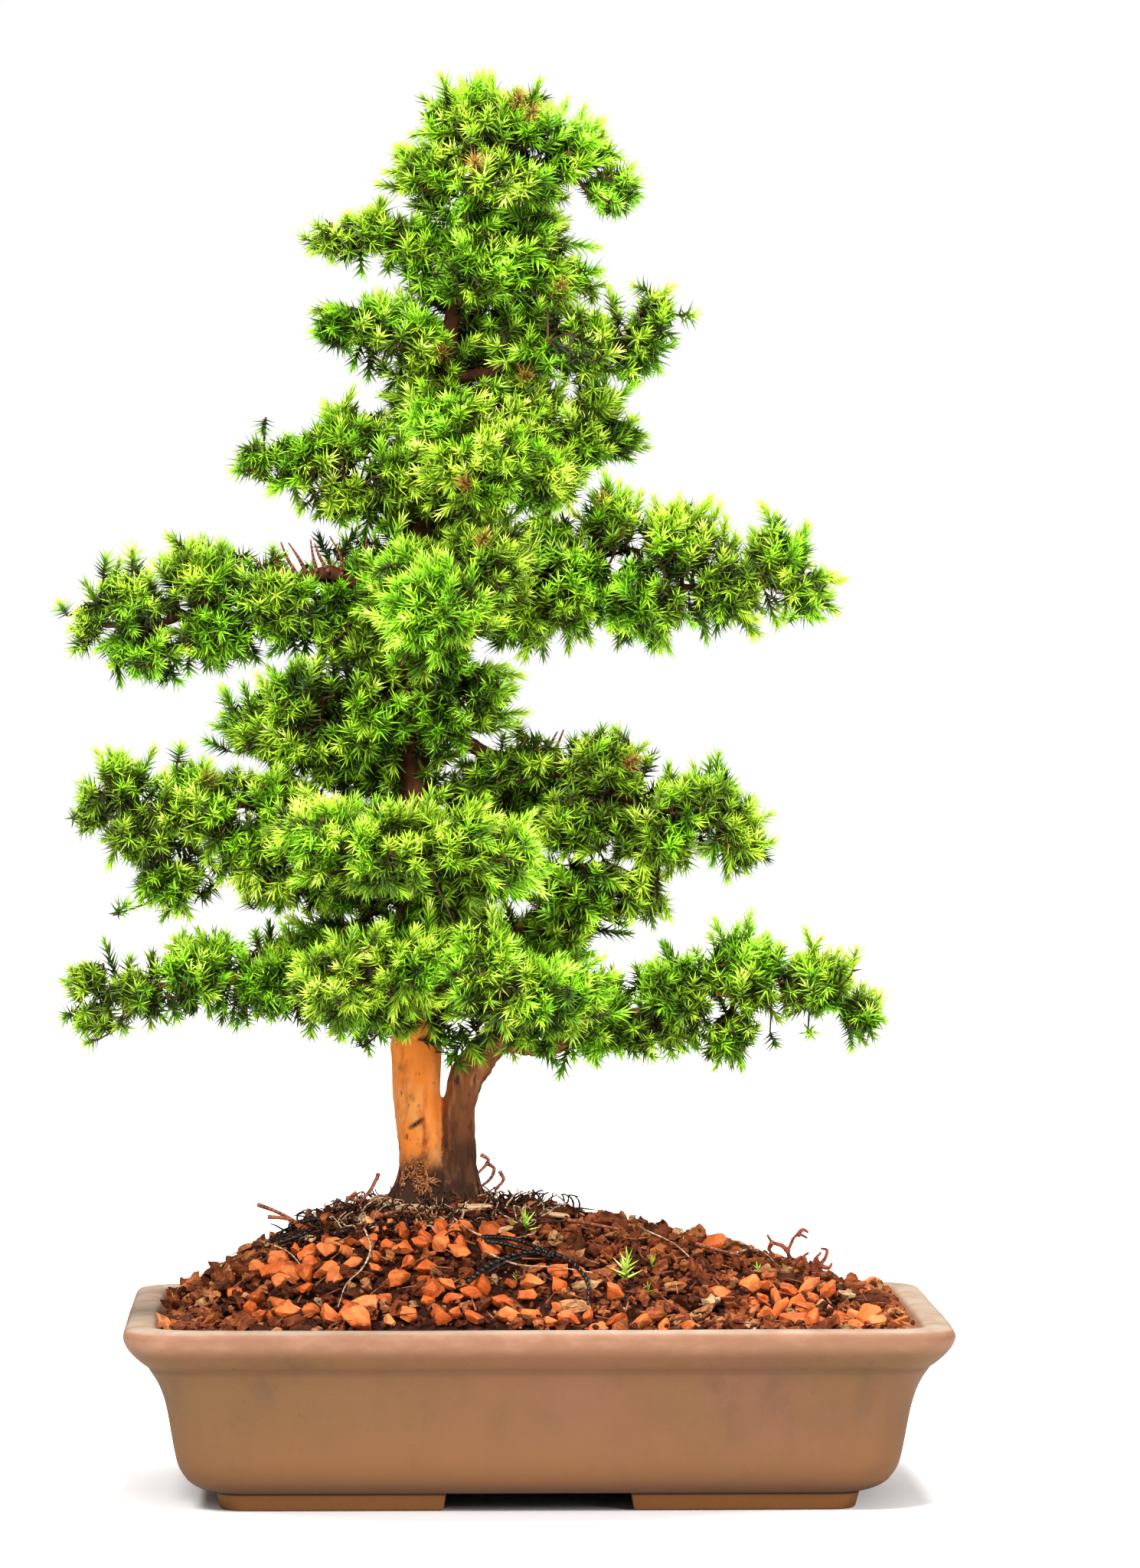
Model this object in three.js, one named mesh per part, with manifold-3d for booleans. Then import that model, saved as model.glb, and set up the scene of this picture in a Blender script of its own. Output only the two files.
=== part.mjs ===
// A needle juniper trained as an informal upright bonsai, in an unglazed rectangular stoneware pot.
// Millimetres, +Z up. X runs along the pot's long side, -Y is the front. Every piece is one closed solid.
//
// The pot is a flared tray on four corner feet, with two drain holes. A plastic screen and a bent wire clip
// keep the soil in above each hole. The soil is heaped up to the foot of the tree. The tree has two stems that
// share one foot, boughs that leave them on all sides, and a pad of foliage round each bough. Three boughs are
// bent with coiled wire. A tie wire holds the root ball down and comes up through the soil at the front.

import * as THREE from "three";
import { mergeVertices } from "three/addons/utils/BufferGeometryUtils.js";
import Module from "manifold-3d";

const wasm = await Module();
wasm.setup();

// ---- Driving dimensions ----

const GAP = 0.3; // between pieces that touch
const CUT = 1; // how far a cutter runs past what it cuts

const POT_LENGTH = 302; // over the lip
const POT_DEPTH = 226;
const POT_HEIGHT = 68;
const CORNER_RADIUS = 14; // of the lip, seen from above
const LIP_WIDTH = 12.5; // flat top of the lip and its rounded edges
const LIP_HEIGHT = 13; // from the top to where the lip turns under
const WALL_INSET = 16; // how far the wall stands in from the lip's edge
const WALL = 7;
const FLOOR = 8;
const BASE_CURVE = 12; // round turn from the wall to the floor
const FOOT_HEIGHT = 6.2;
const FOOT_INSET = 33; // from the lip's edge to a foot's outer face
const FOOT_WIDTH = 17;
const FOOT_TAPER = 2.5; // a foot is this much smaller all round where it stands
const FOOT_GAP_LONG = 64; // between the feet, along the pot
const FOOT_GAP_SHORT = 70; // and across it
const DRAIN_RADIUS = 10;
const DRAIN_OFFSET = 62; // of each drain hole from the pot's middle

const SCREEN_SIZE = 32;
const SCREEN_THICKNESS = 1;
const SCREEN_HOLE = 6;
const SCREEN_PITCH = 8.5;
const CLIP_WIRE = 0.7; // radius
const CLIP_REACH = 15; // of a clip's ends, under the floor

const SOIL_EDGE_DROP = 2.5; // of the soil below the lip at the wall
const SOIL_RISE = 40; // of the heap above the soil's edge
const SOIL_FULLNESS = 1.75; // 1 is a straight cone, and more is rounder
const SOIL_LUMP = 0.9; // height of the lumps on its surface

const TREE_X = -39; // the foot of the tree, from the pot's middle
const TREE_Y = 0;
const TREE_RISE = 1; // scales the tree's heights
const CROWN_SPREAD = 0.985; // scales the reach of the boughs
const STEM_GIRTH = 1; // scales the stems and boughs
const PAD_FULLNESS = 1.1; // scales the foliage pads
const PAD_BREADTH = 1.35; // and their size from front to back once more
const ROOT_DEPTH = 30; // the root crown's depth in the soil

const COIL_WIRE = 1; // radius of the training wire
const COIL_PITCH = 15;
const SLEEVE = 4.2; // what the foliage keeps clear of round a bough that carries a coil
const TIE_WIRE = 1.1; // radius of the tie wire

const TUBE_SIDES = 6;
const STEM_SIDES = 8;
const CORNER_STEPS = 5;
const LOBE_SCALE = 1.08; // the flat-sided lobes are this much over their size, to hold the volume of round ones

const COLOURS = {
  stoneware: [0x9a7253, 0.72],
  soil: [0x4a2a1c, 0.95],
  bark: [0x8d5a3a, 0.85],
  foliage: [0x5d9a2a, 0.7],
  wire: [0x17130f, 0.4],
  screen: [0x22251f, 0.6],
  sprout: [0x86c440, 0.6],
  deadwood: [0x6a3a28, 0.85],
};

// ---- Solids ----

// A closed three.js geometry as a manifold-3d solid.
function solidOf(geometry) {
  const bare = geometry.index ? geometry.toNonIndexed() : geometry.clone();
  bare.deleteAttribute("normal");
  bare.deleteAttribute("uv");
  const merged = mergeVertices(bare, 1e-4);
  return new wasm.Manifold(
    new wasm.Mesh({
      numProp: 3,
      vertProperties: merged.attributes.position.array,
      triVerts: new Uint32Array(merged.index.array),
    }),
  );
}

function geometryOf(solid) {
  const mesh = solid.getMesh();
  const points = new Float32Array(mesh.numVert * 3);
  for (let i = 0; i < mesh.numVert; i++) {
    const start = i * mesh.numProp;
    points.set(mesh.vertProperties.subarray(start, start + 3), i * 3);
  }
  return new THREE.BufferGeometry()
    .setAttribute("position", new THREE.BufferAttribute(points, 3))
    .setIndex(new THREE.BufferAttribute(new Uint32Array(mesh.triVerts), 1));
}

const joined = (solids) => solids.reduce((all, next) => all.add(next));

// The largest body of a solid, for a pad that a bough cuts in two.
function largest(solid) {
  return solid.decompose().reduce((a, b) => (a.volume() > b.volume() ? a : b));
}

// A closed skin through rings of points, with flat ends. The rings turn anticlockwise seen from the last one.
function loft(rings) {
  const sides = rings[0].length;
  const index = [];
  for (let ring = 0; ring < rings.length - 1; ring++) {
    for (let side = 0; side < sides; side++) {
      const a = ring * sides + side;
      const b = ring * sides + ((side + 1) % sides);
      index.push(a, b, b + sides, a, b + sides, a + sides);
    }
  }
  const top = (rings.length - 1) * sides;
  for (let side = 1; side < sides - 1; side++) {
    index.push(0, side + 1, side);
    index.push(top, top + side, top + side + 1);
  }
  return new THREE.BufferGeometry().setFromPoints(rings.flat()).setIndex(index);
}

// A rectangle with round corners at one height.
function roundedRing(halfX, halfY, radius, z) {
  const corners = [
    [halfX - radius, halfY - radius, 0],
    [radius - halfX, halfY - radius, Math.PI / 2],
    [radius - halfX, radius - halfY, Math.PI],
    [halfX - radius, radius - halfY, (3 * Math.PI) / 2],
  ];
  return corners.flatMap(([x, y, start]) =>
    Array.from({ length: CORNER_STEPS + 1 }, (_, step) => {
      const angle = start + ((Math.PI / 2) * step) / CORNER_STEPS;
      return new THREE.Vector3(
        x + radius * Math.cos(angle),
        y + radius * Math.sin(angle),
        z,
      );
    }),
  );
}

// A ring of the pot, given how far it stands in from the lip's outer edge.
function potRing(inset, z) {
  const radius = Math.max(CORNER_RADIUS - inset / 2, 6);
  return roundedRing(POT_LENGTH / 2 - inset, POT_DEPTH / 2 - inset, radius, z);
}

// Points on a quarter turn: inset goes from a to b and z from c to d. easing picks which starts steeply.
function quarterTurn(insets, heights, steps, insetFirst) {
  return Array.from({ length: steps + 1 }, (_, step) => {
    const angle = ((Math.PI / 2) * step) / steps;
    const early = Math.sin(angle);
    const late = 1 - Math.cos(angle);
    const [forInset, forHeight] = insetFirst ? [early, late] : [late, early];
    return [
      THREE.MathUtils.lerp(insets[0], insets[1], forInset),
      THREE.MathUtils.lerp(heights[0], heights[1], forHeight),
    ];
  });
}

// A tube of flat-sided section along points, with a radius at each point.
function taperedTube(points, radii, sides, grow = 0) {
  const curve = new THREE.CatmullRomCurve3(points, false, "centripetal");
  const frames = curve.computeFrenetFrames(points.length - 1, false);
  const rings = points.map((centre, i) =>
    Array.from({ length: sides }, (_, side) => {
      const angle = (2 * Math.PI * side) / sides;
      const radius = radii[i] + grow;
      return centre
        .clone()
        .addScaledVector(frames.normals[i], radius * Math.cos(angle))
        .addScaledVector(frames.binormals[i], radius * Math.sin(angle));
    }),
  );
  return solidOf(loft(rings));
}

// A wire of round section along a curve.
function wire(curve, radius, steps, grow = 0) {
  const section = new THREE.Shape().absarc(0, 0, radius + grow, 0, 2 * Math.PI);
  const outline = new THREE.Shape(section.getPoints(TUBE_SIDES / 2).slice(0, -1));
  const settings = { extrudePath: curve, steps, bevelEnabled: false };
  return solidOf(new THREE.ExtrudeGeometry(outline, settings));
}

function boxBetween(low, high) {
  const size = new THREE.Vector3().subVectors(high, low);
  const middle = new THREE.Vector3().addVectors(low, high).multiplyScalar(0.5);
  const box = new THREE.BoxGeometry(size.x, size.y, size.z);
  return solidOf(box.translate(middle.x, middle.y, middle.z));
}

// ---- Pot ----

const innerInset = (z) => {
  const share = THREE.MathUtils.clamp(
    (z - FOOT_HEIGHT - FLOOR) / (POT_HEIGHT - FOOT_HEIGHT - FLOOR),
    0,
    1,
  );
  const foot = WALL_INSET + WALL + 5;
  return THREE.MathUtils.lerp(foot, LIP_WIDTH, share ** 2);
};

// The space inside the pot, or that space with a clearance all round.
function potInside(clearance, top) {
  const floor = FOOT_HEIGHT + FLOOR;
  const heights = [0, 0.03, 0.12, 0.4, 0.7, 0.9, 1].map((share) =>
    THREE.MathUtils.lerp(floor, POT_HEIGHT, share),
  );
  const turnIn = [12, 5, 0, 0, 0, 0, 0]; // rounds the corner of wall and floor
  const rings = heights.map((z, i) =>
    potRing(
      innerInset(z) + turnIn[i] + clearance,
      i === 0 ? z + clearance : z,
    ),
  );
  rings.push(potRing(innerInset(POT_HEIGHT) + clearance, top));
  return solidOf(loft(rings));
}

// The outside of the pot, from the edge of its underside up to the flat top of its lip: how far each ring stands
// in from the lip's outer edge, and its height.
function potOutline() {
  const underLip = POT_HEIGHT - LIP_HEIGHT;
  const base = FOOT_HEIGHT + BASE_CURVE;
  const wall = WALL_INSET + 1.8;
  const turn = quarterTurn([FOOT_INSET - 2, wall], [FOOT_HEIGHT, base], 4, true);
  const cove = [
    [WALL_INSET - 0.6, underLip - 16],
    [WALL_INSET - 2.6, underLip - 9.4],
    [WALL_INSET - 5, underLip - 5.2],
    [WALL_INSET - 7.6, underLip - 2],
  ];
  const lip = [
    [3.4, underLip + 3],
    [0.8, underLip + 6.6],
    [0, underLip + 9.4],
    [0.6, POT_HEIGHT - 1.6],
    [2.6, POT_HEIGHT],
  ];
  return [...turn, [WALL_INSET + 0.6, base + 11], ...cove, ...lip];
}

function makePot() {
  const outline = potOutline().map(([inset, z]) => potRing(inset, z));
  const body = solidOf(loft(outline));

  const footOuter = solidOf(
    loft([
      potRing(FOOT_INSET + FOOT_TAPER, 0),
      potRing(FOOT_INSET, FOOT_HEIGHT + 0.5),
    ]),
  );
  const footInner = solidOf(
    loft([
      potRing(FOOT_INSET + FOOT_WIDTH - FOOT_TAPER, -CUT),
      potRing(FOOT_INSET + FOOT_WIDTH, FOOT_HEIGHT),
    ]),
  );
  const notch = (gap, along) => {
    const half = gap / 2;
    const run = Math.max(POT_LENGTH, POT_DEPTH);
    const shape = new THREE.Shape([
      new THREE.Vector2(-half - FOOT_TAPER, -CUT),
      new THREE.Vector2(half + FOOT_TAPER, -CUT),
      new THREE.Vector2(half, FOOT_HEIGHT),
      new THREE.Vector2(-half, FOOT_HEIGHT),
    ]);
    const prism = new THREE.ExtrudeGeometry(shape, {
      depth: run,
      bevelEnabled: false,
    });
    prism.translate(0, 0, -run / 2).rotateX(Math.PI / 2);
    return solidOf(along ? prism.rotateZ(Math.PI / 2) : prism);
  };
  const feet = footOuter
    .subtract(footInner)
    .subtract(notch(FOOT_GAP_LONG, false))
    .subtract(notch(FOOT_GAP_SHORT, true));

  const drains = [-DRAIN_OFFSET, DRAIN_OFFSET].map((x) => {
    const height = FLOOR + 2 * CUT;
    const hole = new THREE.CylinderGeometry(
      DRAIN_RADIUS,
      DRAIN_RADIUS,
      height,
      16,
    );
    hole.rotateX(Math.PI / 2).translate(x, 0, FOOT_HEIGHT + FLOOR / 2);
    return solidOf(hole);
  });
  const hollow = potInside(0, POT_HEIGHT + CUT);
  return drains.reduce(
    (pot, hole) => pot.subtract(hole),
    body.add(feet).subtract(hollow),
  );
}

// ---- Drain screens and their clips ----

const screenBase = FOOT_HEIGHT + FLOOR + GAP;

function makeScreen(x) {
  const half = SCREEN_SIZE / 2;
  const openHalf = SCREEN_HOLE / 2;
  const top = screenBase + SCREEN_THICKNESS;
  let plate = boxBetween(
    new THREE.Vector3(x - half, -half, screenBase),
    new THREE.Vector3(x + half, half, top),
  );
  for (const column of [-1, 0, 1]) {
    for (const row of [-1, 0, 1]) {
      const middleX = x + column * SCREEN_PITCH;
      const middleY = row * SCREEN_PITCH;
      const hole = boxBetween(
        new THREE.Vector3(middleX - openHalf, middleY - openHalf, screenBase - CUT),
        new THREE.Vector3(middleX + openHalf, middleY + openHalf, top + CUT),
      );
      plate = plate.subtract(hole);
    }
  }
  return plate;
}

// A wire over the screen, down through the drain hole and out under the floor on both sides.
function makeClip(x, grow = 0) {
  const leg = SCREEN_PITCH;
  const over = screenBase + SCREEN_THICKNESS + GAP + CLIP_WIRE;
  const under = FOOT_HEIGHT - GAP - CLIP_WIRE;
  const corners = [
    [-CLIP_REACH, under],
    [-leg, under],
    [-leg, over],
    [leg, over],
    [leg, under],
    [CLIP_REACH, under],
  ].map(([along, z]) => new THREE.Vector3(x + along, 0, z));
  const rods = corners.slice(1).map((end, i) => {
    const start = corners[i];
    const turn = new THREE.Vector3().subVectors(end, start).setLength(CLIP_WIRE);
    const from = start.clone().addScaledVector(turn, i === 0 ? 0 : -1);
    const to = end.clone().addScaledVector(turn, i === corners.length - 2 ? 0 : 1);
    return wire(new THREE.LineCurve3(from, to), CLIP_WIRE, 1, grow);
  });
  return joined(rods);
}

// ---- Soil ----

const soilEdge = POT_HEIGHT - SOIL_EDGE_DROP;

// The heap is steepest near the lip and highest at the foot of the tree.
function soilHeight(x, y) {
  const reachX = POT_LENGTH / 2 - LIP_WIDTH + (x < TREE_X ? TREE_X : -TREE_X);
  const reachY = POT_DEPTH / 2 - LIP_WIDTH;
  const across = Math.abs(x - TREE_X) / reachX;
  const back = Math.abs(y - TREE_Y) / reachY;
  const out = Math.min(Math.hypot(across, back), 1);
  const lumps =
    Math.sin(x * 0.31 + y * 0.17) * Math.cos(y * 0.29 - x * 0.11) * SOIL_LUMP;
  return soilEdge + SOIL_RISE * (1 - out ** SOIL_FULLNESS) + lumps * (1 - out);
}

function makeHeap() {
  const columns = 16;
  const rows = 12;
  const block = new THREE.BoxGeometry(
    POT_LENGTH,
    POT_DEPTH,
    POT_HEIGHT,
    columns,
    rows,
    1,
  );
  const place = block.attributes.position;
  for (let i = 0; i < place.count; i++) {
    if (place.getZ(i) > 0) {
      place.setZ(i, soilHeight(place.getX(i), place.getY(i)));
    } else {
      place.setZ(i, 0);
    }
  }
  const top = soilEdge + SOIL_RISE + SOIL_LUMP + CUT;
  return solidOf(block).intersect(potInside(GAP, top));
}

// ---- Tree ----

const footZ = soilHeight(TREE_X, TREE_Y);

// A point of the tree, from its foot: right, back and up.
const tree = (x, y, z) =>
  new THREE.Vector3(
    TREE_X + x * CROWN_SPREAD,
    TREE_Y + y * CROWN_SPREAD,
    footZ + z * TREE_RISE,
  );

const girth = (radii) => radii.map((radius) => radius * STEM_GIRTH);

// Each stem or root: its line from the foot, and its radius at each point.
const STEMS = [
  {
    line: [
      [-1, 0, -ROOT_DEPTH / 2],
      [0, 0, 0],
      [-3, 0, 20],
      [-5, 0, 40],
      [-5, 0, 60],
      [-4, 2, 95],
      [-6, 0, 145],
      [-9, -2, 195],
      [-7, 0, 240],
      [2, 2, 285],
      [8, 0, 325],
      [14, 0, 365],
      [18, 0, 392],
    ],
    radii: [12, 12, 8.6, 9, 9.8, 8.2, 7, 6.2, 5.4, 4.4, 3.4, 2.4, 1.4],
  },
  {
    line: [
      [8, 2, -ROOT_DEPTH / 2],
      [9, 1, 0],
      [11, 0, 20],
      [11, 0, 36],
      [14, 0, 48],
      [21, 0, 58],
      [28, 0, 66],
      [31, 2, 82],
      [34, 6, 105],
    ],
    radii: [10, 10, 7, 6.4, 7, 6.8, 5.6, 4, 2.2],
  },
];
const ROOTS = [
  [-34, -16, 7],
  [-26, 24, 6],
  [8, 38, 6],
  [38, 14, 6],
  [26, -26, 6],
  [-6, -34, 6.5],
];

function makeTrunk(grow = 0) {
  const stems = STEMS.map(({ line, radii }) =>
    taperedTube(line.map((p) => tree(...p)), girth(radii), STEM_SIDES, grow),
  );
  const roots = ROOTS.map(([x, y, radius]) =>
    taperedTube(
      [
        tree(x * 0.1, y * 0.1, -2),
        tree(x * 0.55, y * 0.55, -ROOT_DEPTH * 0.35),
        tree(x, y, -ROOT_DEPTH * 0.8),
      ],
      girth([radius, radius * 0.6, radius * 0.25]),
      TUBE_SIDES,
      grow,
    ),
  );
  return joined([...stems, ...roots]);
}

// Each bough: its name, its line from the stem outwards, its radii at the stem and at its tip, and the lobes of
// its pad, each a middle and three half sizes. wired boughs carry a coil of wire. The apex pads grow on the stem
// itself and have no line.
const BOUGHS = [
  {
    name: "left_1",
    line: [[-3, 0, 74], [-28, -2, 84], [-62, -4, 86], [-95, -4, 83], [-122, -3, 80]],
    radii: [4, 1],
    lobes: [
      [-129, -3, 86, 9, 7, 6],
      [-126, -3, 71, 10, 7, 7],
      [-110, -4, 80, 13, 10, 11],
      [-86, -5, 88, 17, 16, 15],
      [-60, -5, 85, 19, 18, 15],
      [-34, -5, 78, 16, 16, 12],
    ],
  },
  {
    name: "right_1",
    line: [[28, 0, 61], [44, -1, 58], [66, -3, 68], [105, -5, 80], [150, -5, 76]],
    radii: [4.6, 1],
    lobes: [
      [164, -4, 72, 9, 9, 10],
      [146, -5, 83, 17, 14, 14],
      [118, -6, 86, 18, 17, 17],
      [112, -5, 64, 13, 12, 11],
      [92, -7, 76, 19, 18, 18],
      [68, -6, 70, 18, 17, 15],
    ],
  },
  {
    name: "front_left_1",
    line: [[-4, -6, 80], [-14, -26, 88], [-26, -50, 93]],
    radii: [3.2, 1],
    lobes: [
      [-33, -58, 86, 18, 18, 15],
      [-8, -62, 94, 19, 19, 16],
      [-20, -36, 80, 19, 18, 15],
    ],
  },
  {
    name: "front_right_1",
    line: [[31, 0, 84], [34, -22, 88], [34, -50, 90]],
    radii: [3, 1],
    lobes: [
      [18, -68, 92, 17, 17, 16],
      [38, -60, 82, 18, 17, 14],
      [54, -48, 80, 15, 15, 12],
      [30, -36, 84, 18, 18, 15],
      [42, -32, 72, 15, 14, 10],
    ],
  },
  {
    name: "back_1",
    line: [[-3, 6, 82], [-6, 34, 92], [2, 72, 96]],
    radii: [3.6, 1],
    lobes: [
      [-34, 72, 92, 24, 22, 15],
      [4, 84, 98, 26, 22, 17],
      [38, 66, 92, 23, 22, 15],
      [2, 44, 90, 26, 22, 16],
    ],
  },
  {
    name: "left_2",
    line: [[-7, 0, 122], [-36, -4, 142], [-66, -7, 151], [-96, -7, 146], [-122, -6, 145]],
    radii: [4, 1],
    wired: true,
    lobes: [
      [-125, -5, 148, 9, 8, 8],
      [-116, -5, 158, 11, 10, 13],
      [-106, -6, 140, 16, 15, 15],
      [-97, -6, 121, 14, 13, 12],
      [-86, -8, 150, 19, 17, 16],
      [-66, -8, 134, 18, 18, 15],
      [-56, -8, 120, 17, 15, 11],
      [-36, -10, 120, 17, 15, 13],
      [-56, -10, 152, 16, 16, 12],
    ],
  },
  {
    name: "right_2",
    line: [[-8, 0, 186], [22, -2, 168], [50, -4, 161], [78, -6, 150], [106, -7, 143]],
    radii: [3.8, 1],
    wired: true,
    lobes: [
      [117, -8, 138, 12, 12, 14],
      [102, -8, 150, 17, 16, 14],
      [84, -8, 138, 19, 18, 16],
      [66, -7, 164, 16, 14, 14],
      [56, -8, 142, 17, 17, 16],
      [58, -8, 118, 19, 17, 15],
      [76, -8, 116, 14, 13, 11],
      [50, -8, 102, 14, 13, 8],
      [38, -5, 166, 14, 12, 9],
      [20, -8, 160, 12, 11, 8],
    ],
  },
  {
    name: "front_2",
    line: [[-7, -5, 118], [-12, -30, 130], [-14, -54, 136]],
    radii: [3.4, 1],
    lobes: [
      [-40, -58, 140, 19, 18, 14],
      [-16, -66, 134, 19, 18, 17],
      [8, -64, 138, 17, 17, 15],
      [28, -52, 130, 16, 17, 15],
      [8, -40, 118, 17, 16, 13],
      [-24, -38, 132, 19, 18, 16],
    ],
  },
  {
    name: "back_right_2",
    line: [[-5, 6, 132], [22, 34, 146], [52, 58, 150]],
    radii: [3.6, 1],
    lobes: [
      [62, 64, 150, 24, 22, 15],
      [34, 56, 150, 23, 22, 16],
      [18, 30, 140, 18, 16, 14],
    ],
  },
  {
    name: "back_left_2",
    line: [[-8, 6, 158], [-34, 34, 172], [-50, 56, 178]],
    radii: [3.6, 1],
    lobes: [
      [-58, 62, 178, 23, 21, 15],
      [-34, 56, 178, 22, 21, 16],
      [-30, 30, 166, 17, 16, 14],
    ],
  },
  {
    name: "left_3",
    line: [[-9, -3, 178], [-28, -8, 178], [-50, -12, 182]],
    radii: [3, 1],
    lobes: [
      [-67, -8, 176, 9, 8, 7],
      [-50, -10, 172, 17, 15, 12],
      [-44, -12, 190, 18, 16, 16],
      [-26, -14, 180, 17, 15, 17],
      [-24, -14, 202, 14, 12, 13],
    ],
  },
  {
    name: "left_4",
    line: [[-9, 0, 226], [-38, -3, 236], [-72, -4, 226], [-104, -5, 216], [-124, -4, 216]],
    radii: [4, 1],
    wired: true,
    lobes: [
      [-128, -3, 217, 10, 8, 7],
      [-112, -4, 224, 15, 13, 15],
      [-106, -4, 206, 15, 13, 11],
      [-86, -5, 234, 17, 15, 15],
      [-82, -4, 214, 18, 16, 15],
      [-58, -4, 224, 20, 17, 17],
      [-34, -5, 218, 17, 15, 15],
    ],
  },
  {
    name: "right_3",
    line: [[-7, 0, 214], [22, -4, 222], [60, -6, 228], [100, -6, 230], [136, -5, 232]],
    radii: [4, 1],
    lobes: [
      [144, -4, 228, 10, 10, 11],
      [130, -5, 240, 15, 14, 15],
      [112, -6, 230, 17, 16, 16],
      [92, -7, 246, 18, 17, 18],
      [80, -8, 226, 19, 18, 17],
      [56, -8, 232, 18, 18, 20],
      [46, -8, 246, 15, 14, 12],
      [68, -8, 254, 13, 12, 14],
      [36, -7, 222, 17, 17, 15],
    ],
  },
  {
    name: "front_3",
    line: [[-8, -5, 206], [0, -26, 218], [6, -48, 222]],
    radii: [3.2, 1],
    lobes: [
      [2, -56, 222, 21, 18, 17],
      [22, -34, 240, 19, 17, 15],
      [-6, -32, 232, 18, 16, 17],
      [2, -26, 206, 15, 13, 16],
      [6, -22, 184, 13, 11, 14],
      [20, -20, 190, 12, 12, 13],
    ],
  },
  {
    name: "back_4",
    line: [[-8, 5, 220], [-2, 32, 232], [6, 56, 238]],
    radii: [3.2, 1],
    lobes: [
      [8, 62, 238, 26, 21, 16],
      [-18, 44, 232, 21, 19, 16],
      [32, 36, 232, 19, 18, 15],
      [8, 42, 262, 22, 18, 17],
    ],
  },
  {
    name: "left_5",
    line: [[-4, 0, 258], [-26, -3, 268], [-48, -4, 276], [-64, -4, 278]],
    radii: [3.4, 1],
    lobes: [
      [-64, -4, 277, 10, 9, 8],
      [-48, -4, 277, 14, 13, 13],
      [-30, -5, 284, 15, 14, 15],
      [-30, -5, 264, 15, 13, 11],
      [-13, -6, 272, 14, 14, 17],
    ],
  },
  {
    name: "right_5",
    line: [[1, 2, 272], [28, 2, 280], [56, 0, 286]],
    radii: [2.8, 0.9],
    lobes: [
      [72, -1, 287, 9, 9, 8],
      [56, 0, 286, 15, 14, 14],
      [64, 2, 300, 12, 11, 9],
      [34, 2, 296, 18, 17, 17],
      [26, -18, 284, 18, 16, 15],
      [20, -44, 274, 21, 16, 17],
      [42, -30, 270, 16, 15, 14],
      [8, -28, 290, 18, 15, 14],
    ],
  },
  {
    name: "left_6",
    line: [[7, 0, 312], [-10, -2, 320], [-30, -3, 326]],
    radii: [2.6, 0.9],
    lobes: [
      [-32, -3, 327, 12, 10, 11],
      [-18, -4, 327, 14, 13, 14],
      [-4, -5, 322, 12, 13, 16],
    ],
  },
  {
    name: "right_6",
    line: [[8, -1, 308], [36, -3, 312], [66, -4, 318], [84, -4, 330]],
    radii: [2.8, 0.9],
    lobes: [
      [86, -4, 333, 8, 8, 9],
      [78, -4, 320, 13, 11, 13],
      [58, -5, 322, 17, 14, 14],
      [38, -6, 322, 15, 14, 15],
    ],
  },
  {
    name: "left_7",
    line: [[12, 0, 346], [-8, -2, 354], [-30, -3, 360]],
    radii: [2.2, 0.8],
    lobes: [
      [-34, -3, 360, 12, 8, 7],
      [-18, -4, 362, 14, 12, 11],
      [-3, -5, 357, 13, 13, 13],
    ],
  },
  {
    name: "crown",
    lobes: [
      [20, -8, 350, 21, 20, 18],
      [48, 0, 344, 14, 14, 14],
      [18, 14, 348, 21, 18, 18],
      [36, -2, 362, 17, 15, 13],
      [24, 26, 322, 18, 16, 18],
      [4, 34, 300, 20, 16, 17],
    ],
  },
  {
    name: "apex",
    lobes: [
      [14, 0, 401, 18, 16, 17],
      [34, 0, 400, 17, 16, 17],
      [3, -1, 386, 17, 15, 15],
      [52, 0, 391, 15, 13, 14],
      [68, -1, 377, 11, 10, 9],
      [28, -4, 380, 24, 20, 14],
    ],
  },
];

const boughLine = (bough) => bough.line.map((p) => tree(...p));

function boughRadii(bough) {
  const [thick, thin] = girth(bough.radii);
  const last = bough.line.length - 1;
  return bough.line.map((_, i) => THREE.MathUtils.lerp(thick, thin, i / last));
}

const makeBough = (bough, grow = 0) =>
  taperedTube(boughLine(bough), boughRadii(bough), TUBE_SIDES, grow);

// A coil of wire round a bough, along the middle part of its line.
class Coil extends THREE.Curve {
  constructor(bough) {
    super();
    this.points = boughLine(bough);
    this.radii = boughRadii(bough);
    this.line = new THREE.CatmullRomCurve3(this.points, false, "centripetal");
    this.from = 0.3;
    this.to = 0.86;
    this.turns = ((this.to - this.from) * this.line.getLength()) / COIL_PITCH;
  }

  getPoint(share, target = new THREE.Vector3()) {
    const along = THREE.MathUtils.lerp(this.from, this.to, share);
    const place = along * (this.points.length - 1);
    const low = Math.min(Math.floor(place), this.points.length - 2);
    const centre = new THREE.Vector3().lerpVectors(
      this.points[low],
      this.points[low + 1],
      place - low,
    );
    const thick = THREE.MathUtils.lerp(
      this.radii[low],
      this.radii[low + 1],
      place - low,
    );
    const tangent = this.line.getTangent(along);
    const side = new THREE.Vector3(0, 1, 0).cross(tangent).normalize();
    const up = new THREE.Vector3().crossVectors(tangent, side);
    const radius = thick + COIL_WIRE + 2 * GAP;
    const angle = 2 * Math.PI * this.turns * share;
    return target
      .copy(centre)
      .addScaledVector(side, radius * Math.cos(angle))
      .addScaledVector(up, radius * Math.sin(angle));
  }
}

function makeCoil(bough) {
  const coil = new Coil(bough);
  return wire(coil, COIL_WIRE, Math.round(coil.turns * 7));
}

// What a pad keeps clear of round a bough: the wood, or the sleeve that its coil fills.
function boughClearance(bough) {
  return makeBough(bough, bough.wired ? SLEEVE : GAP);
}

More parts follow.
